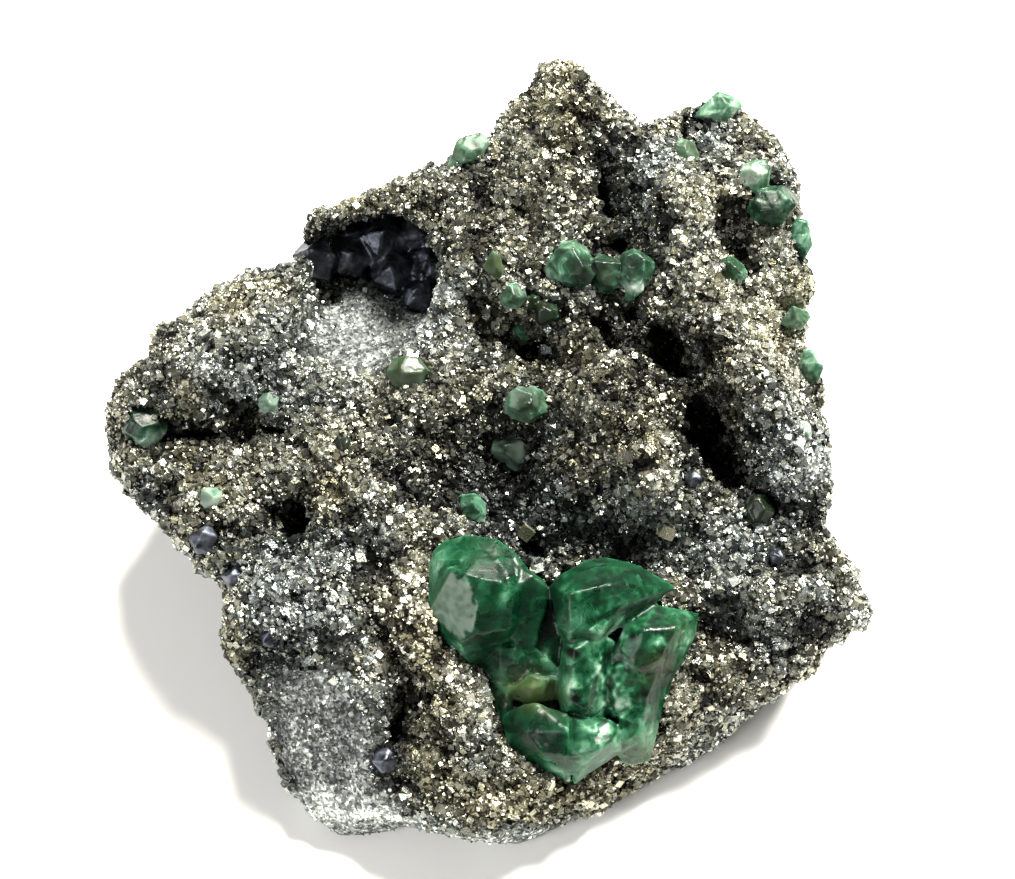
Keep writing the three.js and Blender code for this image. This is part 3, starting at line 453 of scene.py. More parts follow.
# how the crust changes over the face: place, reach along and across, turn, amount
crustRegions = {
    # in the tone, these dark patches are painted shade: along the crevices at (24, 13) and (30, -1), in
    # the left groove at (-43, 0.8), in the left pit at (-31, -11.5), in the holes at (3, 13.5) and (14,
    # 16), in the groove at (15, 36), and under the hollow's arch at (-20, 26)
    "tone": [
        ((0.5, -5), (8, 9), 0, -0.5), ((15, -15), (13, 5), -10, -0.24), ((15, 36), (10, 3), 105, -0.25),
        ((24, 13), (8, 4.5), -45, -0.35), ((30, -1), (10, 4.5), -55, -0.35),
        ((-43, 0.8), (13, 3), 3, -0.3), ((-31, -11.5), (6, 5), 60, -0.3),
        ((-15.5, -41), (9, 4), 72, -0.25), ((-33.5, -29), (5, 3), 15, -0.2),
        ((29, -27), (5, 6), 0, -0.2), ((42, -13), (6, 6), 0, -0.14), ((-20, 26), (9, 4), 15, -0.4),
        ((-30.5, 29.5), (3, 3.5), 0, -0.4), ((3, 13.5), (6, 4), 0, -0.26),
        ((14, 16), (2.5, 5), 20, -0.3), ((-13, -3), (7, 5), -20, -0.22), ((19, -6), (5, 4), 0, 0.16),
        ((30, 37), (5, 6), 0, 0.08), ((26, 27), (5, 5), 0, 0.08), ((38, 18), (4, 8), 0, 0.18),
        ((-13, -12), (7, 4), 0, 0.08), ((34, -20), (9, 6), 20, 0.06), ((-27, -23), (8, 7), 0, 0.08),
        ((-11, -32), (4, 14), 15, 0.1), ((20, 34), (4, 8), 15, -0.08),
    ],
    "gold": [
        ((7, 42), (7, 14), 0, 0.15), ((26, 28), (8, 13), 15, 0.2), ((37, 20), (6, 12), 0, 0.05),
        ((-16, 36), (11, 4), 20, 0.2), ((-10, 0), (10, 12), 0, 0.1), ((-42, 19), (13, 4), 30, 0.1),
        ((-44, -8), (9, 6), -35, 0.1), ((-11, -32), (5, 15), 15, 0.35), ((2, -50), (14, 3), -8, 0.3),
        ((17, 3), (7, 14), 20, -0.05), ((-39, 11), (10, 6), 0, -0.45), ((14, -14), (15, 5), -10, -0.65),
        ((1, -8), (8, 8), 0, -0.55), ((-27, -23), (10, 9), 0, -0.6), ((18.5, 37), (5, 10), 15, -0.55),
        ((27, 44), (7, 5), 0, -0.35), ((40, -6), (8, 13), 0, -0.5), ((38, -26), (12, 8), 0, -0.4),
        ((-20, 31), (11, 6), 15, -0.4), ((-13, -3), (7, 5), -20, -0.35), ((-48, -9), (8, 4), -40, -0.3),
    ],
    # how strongly the crystals differ in tone
    "spark": [
        ((8, 45), (8, 12), 0, -0.6), ((38, 24), (8, 13), 0, -0.55), ((-12, -30), (5, 14), 15, 0.4),
        ((-15, -3), (11, 8), 0, 0.3), ((22, 10), (8, 10), 0, 0.25), ((-6, 20), (4, 10), 0, -0.2),
        ((-20, 16), (8, 6), 0, -0.6),
    ],
    # bare rock: the hollow's floor, the pale block, the ledge under it and the lower right wall
    "bare": [
        ((-20.5, 17), (8.5, 6), 15, 2.6), ((-25.8, -42), (7.5, 9.5), 15, 2.2),
        ((2, -57), (9, 2.5), -5, 1.5), ((36, -46), (17, 4), 34, 2.2), ((-23, -54), (12, 3), 0, 2),
        ((44, -3.5), (2.5, 5), 0, 1),
    ],
    # bare rock with less contrast
    "calm": [((-20, 17), (9, 7), 15, 0.7)],
    "bareTone": [
        ((-26.5, -41), (7, 8), 20, 0.03), ((-24, -54), (14, 3), 0, 0.22), ((2, -57), (10, 3), -5, 0.1),
        ((-26, -52), (2, 5), 20, 0.25), ((-20, -53.5), (7, 1), 0, 0.25),
        ((-18.5, -42), (1.4, 4), 10, -0.2), ((-22.5, -38), (3, 2), 30, -0.2),
        ((-31, -47), (2, 5), 15, -0.15), ((-24, -47), (1.2, 4), -20, -0.2),
        # the patch at (-21, 22) is painted light: it brightens the hollow's floor where it lies in shade
        # under the arch
        ((36, -46), (17, 5), 34, -0.24), ((-21, 22), (9, 4), 15, 0.2), ((-20, 14), (8, 5), 15, 0.1),
    ],
}


def regionValue(kind, points):
    # the sum of every region's amount times exp(-(a^2 + b^2))
    uv = toFace(points)[:, :2]
    return sum(amount * patchAt(uv, at, reach, turn) for at, reach, turn, amount in crustRegions[kind])


# a number for each noise, so that they differ
noiseSeeds = {
    "knobs": 11, "ripple": 31, "tone": 41, "gold": 43, "etching": 51, "chips": 53, "mottle": 57,
    "rims": 59, "fineMottle": 61,
}
skinLooks = {
    "grain": 0.00068,  # the net's face size
    # size and height of the crust's knobs, and the knob value that leaves the skin where it is
    "knobs": [(0.0056, 0.0018), (0.0029, 0.0013), (0.0016, 0.0005)], "level": 0.45,
    "ripple": (0.0015, 0.0003),
    "crustFade": (0.1, 0.4),  # from the broken sides to the crusted face, by how far the skin faces out
    "sides": 0.5, "sidesBare": 0.8,  # the share of the relief on the broken sides, and how bare they are
    "bareSmooth": 0.6,  # the share of the relief that bare rock loses
    "foot": (0.0015, 0.003),  # the height where the relief starts, and the height it takes to grow
    "tone": 0.6, "gold": 0.55, "bareTone": 0.5,
    # the first below: how much the tone rises with a knob's height, painted light on the knobs and
    # painted shade in their lows, partly the darker ore there
    "knobTone": 0.35, "sidesDarker": 0.1, "bareGrey": 0.9,
    "gap": 0.3, "gapFade": (-0.02, 0.12),  # how much painted shade darkens the gaps between knobs, partly the darker ore there, and from where
    "toneClouds": (0.005, 0.1), "goldClouds": (0.007, 0.4),  # size and strength
}


def addValues(mesh, domain, **values):
    for name, value in values.items():
        layer = mesh.attributes.new(name, "FLOAT", domain)
        layer.data.foreach_set("value", np.asarray(value, np.float32))


def makeSkin():
    # p' = p + n (h1 (K(p / s1) - level) + h2 (K(p / s2) - level) + ... + ripple), less on the broken
    # sides and on bare rock, and none at the foot. The tone is the region's, with painted light on the
    # knobs and painted shade in the gaps between them (partly the darker ore there), and its own on bare
    # rock.
    skin = mergedCopy("pyrite_matrix", "pyriteOre")
    remeshed(skin, skinLooks["grain"])
    place, out = coordinatesOf(skin.data), normalsOf(skin.data)
    start, width = skinLooks["crustFade"]
    crust = np.clip((out @ faceTurn[:, 2] + start) / width, 0, 1)
    bare = np.clip(np.maximum(regionValue("bare", place), (1 - crust) * skinLooks["sidesBare"]), 0, 1)
    amount = skinLooks["sides"] + (1 - skinLooks["sides"]) * crust
    amount *= 1 - skinLooks["bareSmooth"] * bare
    start, width = skinLooks["foot"]
    amount *= np.clip((place[:, 2] - start) / width, 0, 1)
    rise = sum(height * (knobNoise(place, size, noiseSeeds["knobs"] + n) - skinLooks["level"])
               for n, (size, height) in enumerate(skinLooks["knobs"]))
    size, height = skinLooks["ripple"]
    rise += height * smoothNoise(place, size, noiseSeeds["ripple"])
    newPlace = place + out * (rise * amount)[:, None]
    newPlace[:, 2] = np.maximum(newPlace[:, 2], 0)
    skin.data.vertices.foreach_set("co", newPlace.ravel())
    rise = rise / sum(height for _, height in skinLooks["knobs"])
    start, width = skinLooks["gapFade"]
    gap = np.clip((start - rise) / width, 0, 1) * crust
    # the regions' tone holds painted shade in crevices, grooves, pits, holes and under the hollow's arch
    tone = skinLooks["tone"] + regionValue("tone", place) * crust
    # painted light on the knobs and painted shade in the gaps between them, partly the darker ore there
    tone = tone + skinLooks["knobTone"] * rise - skinLooks["gap"] * gap
    # the bare tone holds painted light on the hollow's floor under the arch
    bareTone = skinLooks["bareTone"] + regionValue("bareTone", place)
    bareTone = bareTone - skinLooks["sidesDarker"] * (1 - crust)
    tone += (bareTone - tone) * bare
    size, strength = skinLooks["toneClouds"]
    tone = np.clip(tone + strength * smoothNoise(place, size, noiseSeeds["tone"]), 0, 1)
    size, strength = skinLooks["goldClouds"]
    gold = skinLooks["gold"] + regionValue("gold", place) * crust
    gold = gold + strength * smoothNoise(place, size, noiseSeeds["gold"])
    gold = np.clip(gold * (1 - skinLooks["bareGrey"] * bare), 0, 1)
    addValues(skin.data, "POINT", tone=tone, gold=gold, bare=bare, gap=gap,
              sugar=bare * (1 - regionValue("calm", place)))
    skin.data.update()
    finishPiece(skin, ["pyrite_matrix"], [pyriteOre])
    return skin


skin = makeSkin()
report(f"ore skin, {len(skin.data.polygons)} faces")

# ---- fluorite and galena

fluoriteNodes = sorted(name for name in frame["nodes"] if name.startswith("fluorite_"))
galenaNodes = sorted(name for name in frame["nodes"] if name.startswith("galena_"))
paleSlots = {entry["node"] for entry in frame["record"]["subparts"]
             if entry["material_slot"] == "fluorite_pale"}
crystalLooks = {
    # the net's face size, rounds of smoothing, height of the etching, size of its chips, how much
    # paler some chips are, and how strong the painted highlight on the crystal's edges is
    "great": {"grain": 0.00028, "rounds": 1, "etch": 0.00003, "chips": 0.0024,
              "mottle": 0.24, "rims": 0.22},
    "small": {"grain": 0.00022, "rounds": 1, "etch": 0.00003, "chips": 0.0019,
              "mottle": 0.16, "rims": 0.12},
    "galena": {"grain": 0.00024, "rounds": 2, "etch": 0.00005, "chips": 0.002},
    "etchSize": 0.0011, "chipHeight": 4,  # the etching's size, and the chips' height in etchings
}

# how pale, olive and dark the fluorite is over the face: place, reach along and across, turn, amount
fluoriteRegions = {
    "pale": [
        ((8, -18), (18, 3), 0, -0.1), ((-10, -17.6), (1.4, 2), 0, 0.4), ((-7, -16.6), (3, 1), 10, 0.08),
        ((-2.5, -24), (3, 5), 0, -0.2), ((-0.4, -21.2), (0.8, 1.6), 0, 0.5),
        ((3.2, -23), (1.6, 4), 0, -0.2), ((-7, -29.4), (4, 1.8), -35, 0.2),
        ((-0.2, -31.8), (3, 2), 0, -0.1), ((5.4, -30.6), (1, 3), 30, 0.5),
        ((11.4, -32), (1.6, 2), 0, 0.15), ((6.2, -25), (1, 6), 0, -0.5), ((7, -24), (0.5, 4), -10, 0.2),
        ((11, -19), (6, 2), -12, -0.06), ((17, -20.5), (4, 2), 0, -0.12), ((20, -21), (3, 1), -30, 0.1),
        ((10, -26), (4, 2), 0, 0.14), ((14.5, -26), (2.5, 1.6), 0, 0.2),
        ((10.3, -32.5), (3, 4), 0, 0.06), ((8.6, -33), (0.7, 3.4), 0, 0.4),
        ((18, -23), (4, 0.6), 14, -0.4), ((24.5, -25.6), (2.4, 1), -5, 0.02),
        ((25, -27.6), (1, 2), -30, 0.25), ((20.6, -31.6), (3, 2), -30, -0.5),
        ((18, -33.6), (1.5, 1.5), 0, -0.2), ((15, -31), (1.4, 4), 0, 0.1),
        ((15.6, -35.6), (1.8, 2.4), 0, 0.4), ((19.4, -37.6), (3, 2), 0, 0.05),
        ((18, -41.5), (2.6, 4), 0, 0.2), ((13, -41), (3.4, 2.6), 30, 0.16),
        ((10.2, -43), (1.4, 4), 0, 0.3), ((4.1, -40.6), (4, 3), 0, -0.2),
        ((1, -36.8), (3, 1.2), 0, -0.35), ((6, -45), (2.6, 0.8), -30, 0.5),
        ((11, -25), (5, 3), 0, 0.08), ((5.4, 24), (0.9, 3), 10, 0.4),
        ((9.4, 24.4), (3, 1.8), -10, -0.12), ((10.4, 28), (3.4, 1.2), -10, 0.25),
        ((18.6, 22.5), (2.2, 1), 0, 0.7), ((18.8, 25.4), (2, 1.6), 0, -0.12),
        ((36.4, 39), (2.6, 2.4), 0, 0.75), ((8, 23.2), (2.2, 3.2), 20, 0.28),
        ((-52, 0.2), (3, 1.2), 20, 0.6),
    ],
    "olive": [
        ((3.6, -34.6), (3.2, 2), -8, 0.9), ((20.6, -31), (2.8, 2), 30, 0.25),
        ((14, 23.6), (2.4, 1.6), 0, 0.12), ((10.4, 28.4), (3, 1.2), 0, 0.3),
        ((19, -43.5), (2.5, 2.5), 0, 0.35), ((24.4, -26.6), (2, 1.4), 0, 0.2),
        ((36.6, 39.4), (2.4, 2), 0, 0.35),
    ],
    "dark": [
        ((8.9, -28.9), (1, 0.6), -15, 1.8), ((9.2, -35.3), (0.7, 0.6), 0, 1.8),
        ((18.9, -34.8), (1.1, 0.8), -30, 1.2), ((17.2, -27), (0.5, 0.7), 0, 1.2),
        ((21.4, -29.2), (0.6, 1), 20, 0.8), ((7.7, -24.8), (0.7, 0.6), 0, 0.7),
        ((13.4, -30.4), (0.5, 2.4), -25, 0.8), ((17, -39.2), (1.2, 0.5), 0, 0.5),
        ((9.6, -43.4), (0.5, 0.4), 0, 0.6),
    ],
}
# where the great cluster is sugary, with fine pale mottles: place, reach, turn, amount
sugaryParts = [
    ((14.5, -34), (5, 8), 0, 0.5), ((22, -27), (4, 4), 0, 0.3), ((12, -21), (6, 3), 0, 0.2),
    ((-4, -30), (5, 3), 0, 0.2),
]
# the face that etching has frosted: its middle, its reach and the way it faces
frostedFace = {"at": (-8.2, -22.4), "reach": 4.6, "faces": (-0.585, -0.069, 0.808)}
# how the tints change over a crystal
tintLooks = {
    "mottle": 0.0012, "fineMottle": 0.0006, "rimBreaks": 0.002,  # sizes, the last that of the breaks in the painted edge highlights
    # the painted highlight on edges: how sharply it follows an edge, and how much of it the breaks keep
    "rimSharp": 4, "rimBase": 0.6,
    "leanPale": 0.12, "leanPower": 1.5,  # painted light: how much paler the faces are that lean away
    "dullFade": (0.3, 0.3),  # the lean at which a face turns dull, and how fast
    "facingFade": (0.9, 0.05), "frostFade": 0.1,
    "frostEdge": (0.3, 0.2), "frostInside": (0.8, 0.35),  # how ragged the frosted face is, and how uneven
    "frostUneven": 1.5,  # the same for a crystal that is frosted all over
    "darkest": -0.3,  # the lowest pale
}
# how pale, olive and frosted each crystal is, and how much paler its rim
fluoriteTints = {
    "great_cluster": (0.2, 0, 0, 0), "upper_cluster": (0.1, 0, 0.05, 0.3),
    "small_pair": (-0.25, 0.1, 0, 0.4), "right_pair": (0.16, 0, 0, 0.1),
    "upper_left": (0.26, 0.15, 0.15, 0.35), "upper_olive": (0.2, 0.7, 0.2, 0.15),
    "upper_drop": (0.26, 0.1, 0.4, 0.25), "round": (0.34, 0, 0, 0.25),
    "centre": (0.12, 0.1, 0.2, 0.45), "centre_low": (-0.1, 0, 0.3, 0.25),
    "left_edge": (0.06, 0, 0.05, 0.3), "left_small": (0.55, 0, 0.4, 0.15),
    "left_pale": (0.8, 0.15, 0.5, 0.1), "speck": (-0.2, 0.1, 0, 0.15),
    "hollow_rim": (0.05, 0.4, 0.2, 0.15), "top_edge": (0.5, 0.25, 0.2, 0.1),
    "top_right": (0.56, 0.1, 0, 0.1), "top_right_pale": (0.38, 0.4, 0.3, 0.1),
    "right_edge": (0.36, 0, 0, 0.1), "right_pit": (0.22, 0.1, 0, 0.3),
    "right_rim_small": (0.58, 0.3, 0.1, 0.1), "right_rim": (0.55, 0.05, 0, 0.1),
    "right_flake": (0.7, 0, 0.4, 0.1), "lower_right": (-0.2, 0.1, 0, 0.15),
}


def edgesOf(mesh, place, out):
    # the mean of -n . (p_j - p_i) / |p_j - p_i| over a corner's neighbours: high along outer edges
    pairs = np.empty(len(mesh.edges) * 2, np.int32)
    mesh.edges.foreach_get("vertices", pairs)
    i, j = pairs.reshape(-1, 2).T
    way = place[j] - place[i]
    way /= np.maximum(np.linalg.norm(way, axis=1), 1e-9)[:, None]
    total = np.bincount(i, -np.sum(out[i] * way, axis=1), len(place))
    total += np.bincount(j, np.sum(out[j] * way, axis=1), len(place))
    return total / np.maximum(np.bincount(pairs, minlength=len(place)), 1)


def addFluoriteValues(mesh, place, out, tint, looks):
    # pale: the crystal's own and the region's, more with painted highlights on edges and painted light on
    # faces that lean away, and more towards the rim, where it grows with (r / R)^2. Frost: the crystal's
    # own, and the frosted face with a ragged edge. Dull: the faces that lean away.
    pale, olive, frost, rim = tint
    uv = toFace(place)[:, :2]
    lean = np.clip(1 - np.abs(out @ faceTurn[:, 2]), 0, 1)
    # painted highlight along the outer edges, broken up by noise
    breaks = tintLooks["rimBase"] + smoothNoise(place, tintLooks["rimBreaks"], noiseSeeds["rims"])
    edge = np.clip(edgesOf(mesh, place, out) * tintLooks["rimSharp"], 0, 1) * np.clip(breaks, 0, 1)
    chips = chippedNoise(place, looks["chips"], noiseSeeds["chips"])
    middle = (uv.min(axis=0) + uv.max(axis=0)) / 2
    far = np.linalg.norm((uv - middle) / (uv.max(axis=0) - middle), axis=1)
    patches = {kind: sum(amount * patchAt(uv, at, reach, turn) for at, reach, turn, amount in regions)
               for kind, regions in fluoriteRegions.items()}
    start, width = tintLooks["facingFade"]
    facing = np.clip((out @ faceTurn @ np.array(frostedFace["faces"]) - start) / width, 0, 1)
    mottled = smoothNoise(place, tintLooks["mottle"], noiseSeeds["mottle"])
    fine = smoothNoise(place, tintLooks["fineMottle"], noiseSeeds["fineMottle"])
    away = np.linalg.norm(uv - frostedFace["at"], axis=1) / frostedFace["reach"]
    ragged, raggedFine = tintLooks["frostEdge"]
    within = (1 + ragged * mottled + raggedFine * fine - away) / tintLooks["frostFade"]
    etched = facing * np.clip(within, 0, 1)
    pale = pale + patches["pale"] + looks["mottle"] * chips
    # painted light on the faces that lean away, and painted highlights along the edges
    pale = pale + tintLooks["leanPale"] * lean ** tintLooks["leanPower"]
    pale += looks["rims"] * edge + rim * far ** 2
    sugary = sum(amount * patchAt(uv, at, reach, turn) for at, reach, turn, amount in sugaryParts)
    pale += sugary * (mottled + fine)
    inside, uneven = tintLooks["frostInside"]
    frost = np.maximum(frost * (1 + tintLooks["frostUneven"] * mottled),
                       etched * (inside + uneven * mottled + uneven * fine))
    start, width = tintLooks["dullFade"]
    addValues(mesh, "POINT", pale=np.clip(pale, tintLooks["darkest"], 1),
              olive=np.clip(olive + patches["olive"], 0, 1),
              frost=np.clip(frost, 0, 1), dark=np.clip(patches["dark"], 0, 1),
              dull=np.clip((lean - start) / width, 0, 1))


# where crystals of the great cluster swell and narrow a gap: the place, its reach, the move (u, v, w),
# and the gain, with which faces that only partly face that way move as far as the others
grownParts = [{"at": (2.6, -37.7), "reach": (4.4, 1.5), "move": (0.0, 1.7, 0.0), "gain": 1.5}]


def growTogether(piece):
    # p' = p + R m G(u, v) s, with G the patch's bell and s = gain n . m / |m|, held between 0 and 1
    place, out = coordinatesOf(piece.data), normalsOf(piece.data)
    uv = toFace(place)[:, :2]
    for part in grownParts:
        move = faceTurn @ np.array(part["move"]) / 1000
        facing = np.clip(part["gain"] * out @ move / np.linalg.norm(move), 0, 1)
        place += (facing * patchAt(uv, part["at"], part["reach"]))[:, None] * move
    piece.data.vertices.foreach_set("co", place.ravel())
    piece.data.update()


def makeCrystal(nodeName, material, slotName, looks):
    # the node's crystal, its edges softened and its faces etched: p' = p + n h (N(p / s) + k C(p / t)),
    # N being the etching and C the chips
    words = nodeName.split("_")
    piece = mergedCopy(nodeName, words[0] + "".join(word.capitalize() for word in words[1:]))
    remeshed(piece, looks["grain"], looks["rounds"])
    if nodeName == "fluorite_great_cluster":
        growTogether(piece)
    place, out = coordinatesOf(piece.data), normalsOf(piece.data)
    if slotName.startswith("fluorite"):
        addFluoriteValues(piece.data, place, out, fluoriteTints["_".join(words[1:])], looks)
    etching = smoothNoise(place, crystalLooks["etchSize"], noiseSeeds["etching"])
    chips = chippedNoise(place, looks["chips"], noiseSeeds["chips"])
    rise = looks["etch"] * (etching + crystalLooks["chipHeight"] * chips)
    place += out * rise[:, None]
    piece.data.vertices.foreach_set("co", place.ravel())
    piece.data.update()
    finishPiece(piece, [nodeName], [material])
    return piece


greatFluorite = makeCrystal("fluorite_great_cluster", fluoriteGreat, "fluorite", crystalLooks["great"])
smallFluorites = [makeCrystal(name, fluoriteSmall, "fluorite_pale" if name in paleSlots else "fluorite",
                              crystalLooks["small"]) for name in fluoriteNodes if "great" not in name]
galenas = [makeCrystal(name, galena, "galena", crystalLooks["galena"]) for name in galenaNodes]
report("fluorite and galena")

# ---- the pyrite crystals of the crust

crustLooks = {
    # crystals to the square millimetre of crust and of bare rock, width across in metres, how skewed the
    # widths are towards the small, how far they stand out in widths, how much brighter than the skin
    # they are, and how much their tone differs
    "body": {"density": 2.2, "bareDensity": 0.02, "smallest": 0.0005, "largest": 0.0012,
             "skew": (1.4, 2.6), "stand": (-0.3, 0.35), "lift": -0.08, "spread": 0.12},
    "glints": {"density": 5.2, "bareDensity": 0.6, "smallest": 0.0002, "largest": 0.0007,
               "skew": (1.4, 3.4), "stand": (-0.2, 1.3), "lift": 0.02, "spread": 0.18},
    "bareLift": 0.2, "bareSink": 0.8,  # how much brighter and lower the grains on bare rock are
    "goldSpread": 0.2,
    "lowest": 0.002, "underside": -0.5,  # none below this height, or where the skin faces down more
    "seed": 5, "singlesSeed": 9, "strips": 5,
    # grains on the feet of the small fluorites: the share of their corners at the skin that have one, and
    # how far from the skin the last ones sit
    # their lift below the skin's tone is painted shade: these grains stand up on the fluorites and catch
    # the lamps
    "feet": {"share": 0.12, "reach": 0.0011, "smallest": 0.0003, "largest": 0.0008, "lift": -0.1,
             "spread": 0.15},
    "chip": 0.00036,  # crystals narrower than this show as one corner, a chip of four faces
    "cubes": ([0.0004, 0.001], [0.2, 1]),  # the share of cubes among the narrow and the wide ones
    "faceSpread": 0.07,  # how much the tone differs between the faces of one crystal
    "gapShare": 0.3,  # the share of crystals that the gaps between knobs keep
}
# single crystals that stand out: u, v, width in millimetres, tone, gold
singleCrystals = [
    (2.7, -13.3, 2.0, 0.68, 0.9), (22.7, -13.2, 1.8, 0.7, 0.9), (16.7, -2.4, 1.4, 0.5, 0.4),
    (20.2, -1.6, 1.4, 0.55, 0.6), (5.8, 13.6, 1.5, 0.5, 0.0), (-3.3, -35.2, 1.7, 0.7, 0.2),
    (-21, -17, 1.5, 0.6, 0.5), (-41, 14, 1.5, 0.6, 0.5), (0.4, -12.3, 1.0, 1, 0),
    (4.6, -18.6, 1.2, 1, 0.1), (29.2, 17.4, 1.3, 1, 0.1), (30.3, 15.6, 1.2, 1, 0.1),
    (28.7, -1.4, 1.3, 1, 0), (16.2, 12.4, 0.9, 0.95, 0), (41, -0.4, 1.4, 1, 0),
    (26.1, 2.6, 1.1, 0.8, 0.6), (32, -20, 1.2, 0.95, 0.1), (-14, 12, 1.6, 0.9, 0.5),
    (-31, 7, 1.0, 0.95, 0),
]

cubeCorners = np.array([[x, y, z] for x in (-0.5, 0.5) for y in (-0.5, 0.5) for z in (-0.5, 0.5)])
cubeFaces = [[0, 1, 3, 2], [4, 6, 7, 5], [0, 4, 5, 1], [2, 3, 7, 6], [0, 2, 6, 4], [1, 5, 7, 3]]
octaCorners = np.array([[1, 0, 0], [-1, 0, 0], [0, 1, 0], [0, -1, 0], [0, 0, 1], [0, 0, -1]]) * 0.7
octaFaces = [[0, 2, 4], [2, 1, 4], [1, 3, 4], [3, 0, 4], [2, 0, 5], [1, 2, 5], [3, 1, 5], [0, 3, 5]]
chipCorners = np.array([[1, 1, 1], [1, -1, -1], [-1, 1, -1], [-1, -1, 1]]) * 0.5
chipFaces = [[0, 1, 2], [0, 3, 1], [0, 2, 3], [1, 3, 2]]


def turnsFrom(rng, count):
    # rotation matrices of random unit quaternions
    q = rng.normal(size=(count, 4))
    q /= np.linalg.norm(q, axis=1)[:, None]
    w, x, y, z = q.T
    return np.stack([
        1 - 2 * (y * y + z * z), 2 * (x * y - z * w), 2 * (x * z + y * w),
        2 * (x * y + z * w), 1 - 2 * (x * x + z * z), 2 * (y * z - x * w),
        2 * (x * z - y * w), 2 * (y * z + x * w), 1 - 2 * (x * x + y * y)], axis=1).reshape(-1, 3, 3)


def valuesOf(mesh, name):
    values = np.empty(len(mesh.vertices), np.float32)
    mesh.attributes[name].data.foreach_get("value", values)
    return values


def strewOn(mesh, looks, rng):
    # points spread over the skin by area: a count for each triangle from its area and density
    mesh.calc_loop_triangles()
    corners = np.empty(len(mesh.loop_triangles) * 3, np.int32)
    mesh.loop_triangles.foreach_get("vertices", corners)
    corners = corners.reshape(-1, 3)
    a, b, c = coordinatesOf(mesh)[corners].transpose(1, 0, 2)
    across = np.cross(b - a, c - a)
    area = np.linalg.norm(across, axis=1) / 2
    out = across / np.maximum(area * 2, 1e-12)[:, None]
    middle = (a + b + c) / 3
    bare, gap = (valuesOf(mesh, kind)[corners[:, 0]] for kind in ("bare", "gap"))
    density = looks["density"] + (looks["bareDensity"] - looks["density"]) * bare
    density = density * (1 + (crustLooks["gapShare"] - 1) * gap)
    empty = (middle[:, 2] < crustLooks["lowest"]) | (out[:, 2] < crustLooks["underside"])
    density = np.where(empty, 0, density)
    wanted = area * 1e6 * density  # square millimetres to the square metre
    count = np.floor(wanted + rng.random(len(wanted))).astype(int)
    pick = np.repeat(np.arange(len(count)), count)
    r, s = rng.random((2, len(pick)))
    over = r + s > 1
    r, s = np.where(over, 1 - r, r)[:, None], np.where(over, 1 - s, s)[:, None]
    place = a[pick] + r * (b - a)[pick] + s * (c - a)[pick]
    return place, out[pick], corners[pick, 0]


def outsideCrystals(place, inset=0.0002):
    # true where a place is not further than inset inside a fluorite or galena crystal
    keep = np.ones(len(place), bool)
    for piece in [greatFluorite] + smallFluorites + galenas:
        points = coordinatesOf(piece.data)
        low, high = points.min(axis=0), points.max(axis=0)
        near = np.flatnonzero(keep & np.all((place > low) & (place < high), axis=1))
        if not len(near):
            continue
        tree = BVHTree.FromPolygons([Vector(point) for point in points],
                                    [list(face.vertices) for face in piece.data.polygons])
        for index in near:
            hit, normal, _, _ = tree.find_nearest(Vector(place[index]))
            keep[index] = (Vector(place[index]) - hit).dot(normal) > -inset
    return keep


def crystalsMesh(name, place, width, turn, tone, gold, shape, rng):
    # corner = place + width R t for each corner t of the template; each crystal's faces share its
    # tone, but for a little of their own
    corners, faces = shape
    points = place[:, None] + width[:, None, None] * np.einsum("nij,kj->nki", turn, corners)
    count, k, sides = len(place), len(corners), len(faces[0])
    loops = (np.array(faces)[None] + (np.arange(count) * k)[:, None, None]).ravel()
    polygons = count * len(faces)
    mesh = bpy.data.meshes.new(name)
    mesh.vertices.add(count * k)
    mesh.vertices.foreach_set("co", points.ravel())
    mesh.loops.add(len(loops))
    mesh.loops.foreach_set("vertex_index", loops)
    mesh.polygons.add(polygons)
    mesh.polygons.foreach_set("loop_start", np.arange(polygons) * sides)
    mesh.update(calc_edges=True)
    ownTone = np.repeat(tone, len(faces)) + crustLooks["faceSpread"] * rng.normal(size=polygons)
    addValues(mesh, "FACE", tone=np.clip(ownTone, 0, 1), gold=np.repeat(gold, len(faces)))
    piece = bpy.data.objects.new(name, mesh)
    bpy.context.scene.collection.objects.link(piece)
    finishPiece(piece, [], [pyriteCrystals], flat=True)


def strewnCrystals(looks, rng):
    # place = p + n w s, with p on the skin, w the width from a beta distribution and s the stand,
    # which is less on bare rock
    place, out, vertex = strewOn(skin.data, looks, rng)
    keep = outsideCrystals(place)
    place, out, vertex = place[keep], out[keep], vertex[keep]
    count = len(place)
    width = looks["smallest"] + (looks["largest"] - looks["smallest"]) * rng.beta(*looks["skew"], count)
    bare = valuesOf(skin.data, "bare")[vertex]
    stand = rng.uniform(*looks["stand"], count) * (1 - crustLooks["bareSink"] * bare)
    place = place + out * (width * stand)[:, None]
    # the crystals take the skin's tone at their foot, with its painted light and shade
    tone = valuesOf(skin.data, "tone")[vertex] + crustLooks["bareLift"] * bare
    tone += looks["lift"] + looks["spread"] * (1 + regionValue("spark", place)) * rng.normal(size=count)
    gold = valuesOf(skin.data, "gold")[vertex] + crustLooks["goldSpread"] * rng.normal(size=count)
    gold = np.clip(gold, 0, 1)
    return place, width, tone, gold


